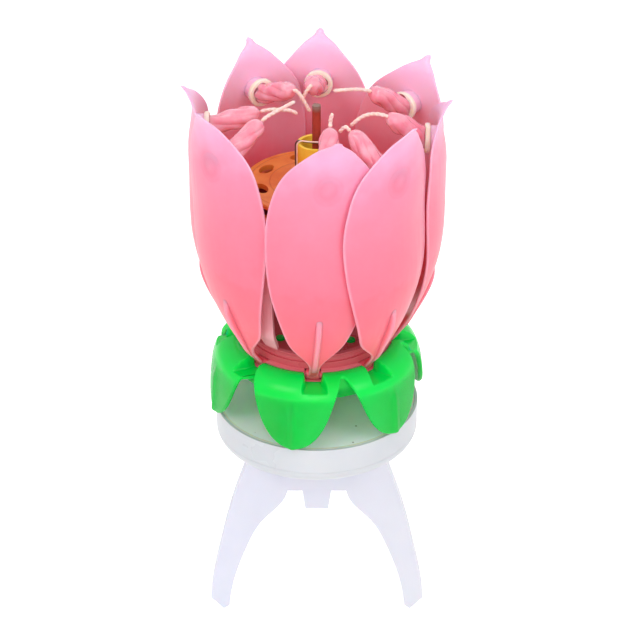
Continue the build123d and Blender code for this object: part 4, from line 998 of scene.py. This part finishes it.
def plied_string(line, radius, plies, pitch, end_round):
    """A twisted string along a line: a circle with a rounded strand for each ply, turning once in each
    pitch, on a frame kept square to the direction that the line uses least, and shrinking on a quarter
    circle at both ends."""
    tangents = np.gradient(line, axis=0)
    tangents /= np.linalg.norm(tangents, axis=1, keepdims=True)
    least = np.linalg.svd(tangents)[2][-1]
    side = np.cross(tangents, least)
    side /= np.linalg.norm(side, axis=1, keepdims=True)
    other = np.cross(tangents, side)
    run = np.concatenate([[0], np.cumsum(np.linalg.norm(np.diff(line, axis=0), axis=1))])
    from_end = np.clip(np.minimum(run, run[-1] - run) / end_round, 0.04, 1)
    angle = np.linspace(0, 2 * pi, wick_columns, endpoint=False)
    strand = np.abs(np.cos(plies * (angle[None, :] - (2 * pi * run / pitch)[:, None]) / 2))
    size = radius * (0.72 + 0.28 * strand) * np.sqrt(1 - (1 - from_end[:, None]) ** 2)
    rings = (line[:, None] + size[..., None] * (np.cos(angle)[None, :, None] * side[:, None]
                                                + np.sin(angle)[None, :, None] * other[:, None]))
    return closed_tube(rings)


def make_wick(number):
    """A cotton string out of the candle's end, along its own few points."""
    _, axes, foot = petal_frame(number)
    direction = candle_direction(number, axes)
    end = foot + direction * candle_lengths[number] * mm
    route = [end, end + direction * wick_root, *(end + np.array(wick_routes[number]) * mm)]
    string = plied_string(route_curve(route), wick_radius, wick_plies, wick_pitch, wick_radius)
    make_piece(f"wick_{number + 1}_string", f"petal_{number + 1}_body", f"wick_{number + 1}",
               materials["wick"], [string], crease=180.0)


for number in range(petal_count):
    make_petal(number)
    make_seat(number)
    make_candle(number)
    make_wick(number)


# Floor, light and camera
def seen_by(tree, *kinds):
    """1 for light rays of these kinds, and 0 for all others."""
    path = add_node(tree, "LightPath")
    seen = path.outputs[kinds[0]]
    for kind in kinds[1:]:
        seen = add_node(tree, "Math", {0: seen, 1: path.outputs[kind]}, operation="MAXIMUM")
    return seen


def make_floor(half_size, glow):
    """A plain pale floor that shows white to the camera and keeps a faint shadow."""
    mesh = bpy.data.meshes.new("floor")
    corners = [(x * half_size, y * half_size, 0) for x, y in ((-1, -1), (1, -1), (1, 1), (-1, 1))]
    mesh.from_pydata(corners, [], [(0, 1, 2, 3)])
    floor = bpy.data.objects.new("floor", mesh)
    bpy.context.scene.collection.objects.link(floor)
    material, tree, shader = begin_material("floor_paint", Roughness=0.9, Specular_IOR_Level=0.1)
    shader.inputs["Base Color"].default_value = colour("#F4F4F4")
    shader.inputs["Emission Color"].default_value = colour("#FFFFFF")
    seen = seen_by(tree, "Is Camera Ray", "Is Glossy Ray", "Is Transmission Ray")
    lit = add_node(tree, "Math", {0: seen}, operation="MULTIPLY", input_1=glow)
    tree.links.new(lit.outputs[0], shader.inputs["Emission Strength"])
    mesh.materials.append(material)


def make_world(strength):
    """White all round for the camera and through clear pieces, at the lighting strength for the rest."""
    world = bpy.data.worlds.new("studio")
    bpy.context.scene.world = world
    world.use_nodes = True
    tree = world.node_tree
    background = tree.nodes["Background"]
    background.inputs["Color"].default_value = colour("#FFFFFF")
    seen = seen_by(tree, "Is Camera Ray", "Is Transmission Ray")
    level = add_node(tree, "Mix", {"Factor": seen}, data_type="FLOAT", input_2=strength, input_3=1.0)
    tree.links.new(level.outputs[0], background.inputs["Strength"])


def add_lamp(name, place, size, power):
    """A square soft lamp aimed at the middle of the bud."""
    data = bpy.data.lights.new(name, "AREA")
    data.size = size
    data.energy = power
    lamp = bpy.data.objects.new(name, data)
    lamp.location = place
    aim = Vector((0, 0, aim_height)) - lamp.location
    lamp.rotation_euler = aim.to_track_quat("-Z", "Y").to_euler()
    bpy.context.scene.collection.objects.link(lamp)


def make_camera():
    """The photograph's camera: above the front, looking down at the bud, with no roll."""
    data = bpy.data.cameras.new("camera")
    data.sensor_width = sensor_width
    data.lens = focal_pixels / image_pixels * sensor_width
    camera = bpy.data.objects.new("camera", data)
    camera.location = (aim_side, -camera_distance * cos(camera_elevation),
                       aim_height + camera_distance * sin(camera_elevation))
    camera.rotation_euler = (pi / 2 - camera_elevation, 0, 0)
    bpy.context.scene.collection.objects.link(camera)
    bpy.context.scene.camera = camera


make_floor(half_size=3.0, glow=0.45)
make_world(strength=0.72)
add_lamp("front", (-0.03, -0.74, 0.42), size=0.4, power=1.5)
add_lamp("key_left", (-0.38, -0.42, 0.62), size=0.3, power=0.9)
add_lamp("key_right", (0.42, -0.40, 0.58), size=0.3, power=0.9)
add_lamp("back", (0.05, 0.5, 0.6), size=0.4, power=0.8)
make_camera()
bpy.context.scene.view_settings.view_transform = "Standard"
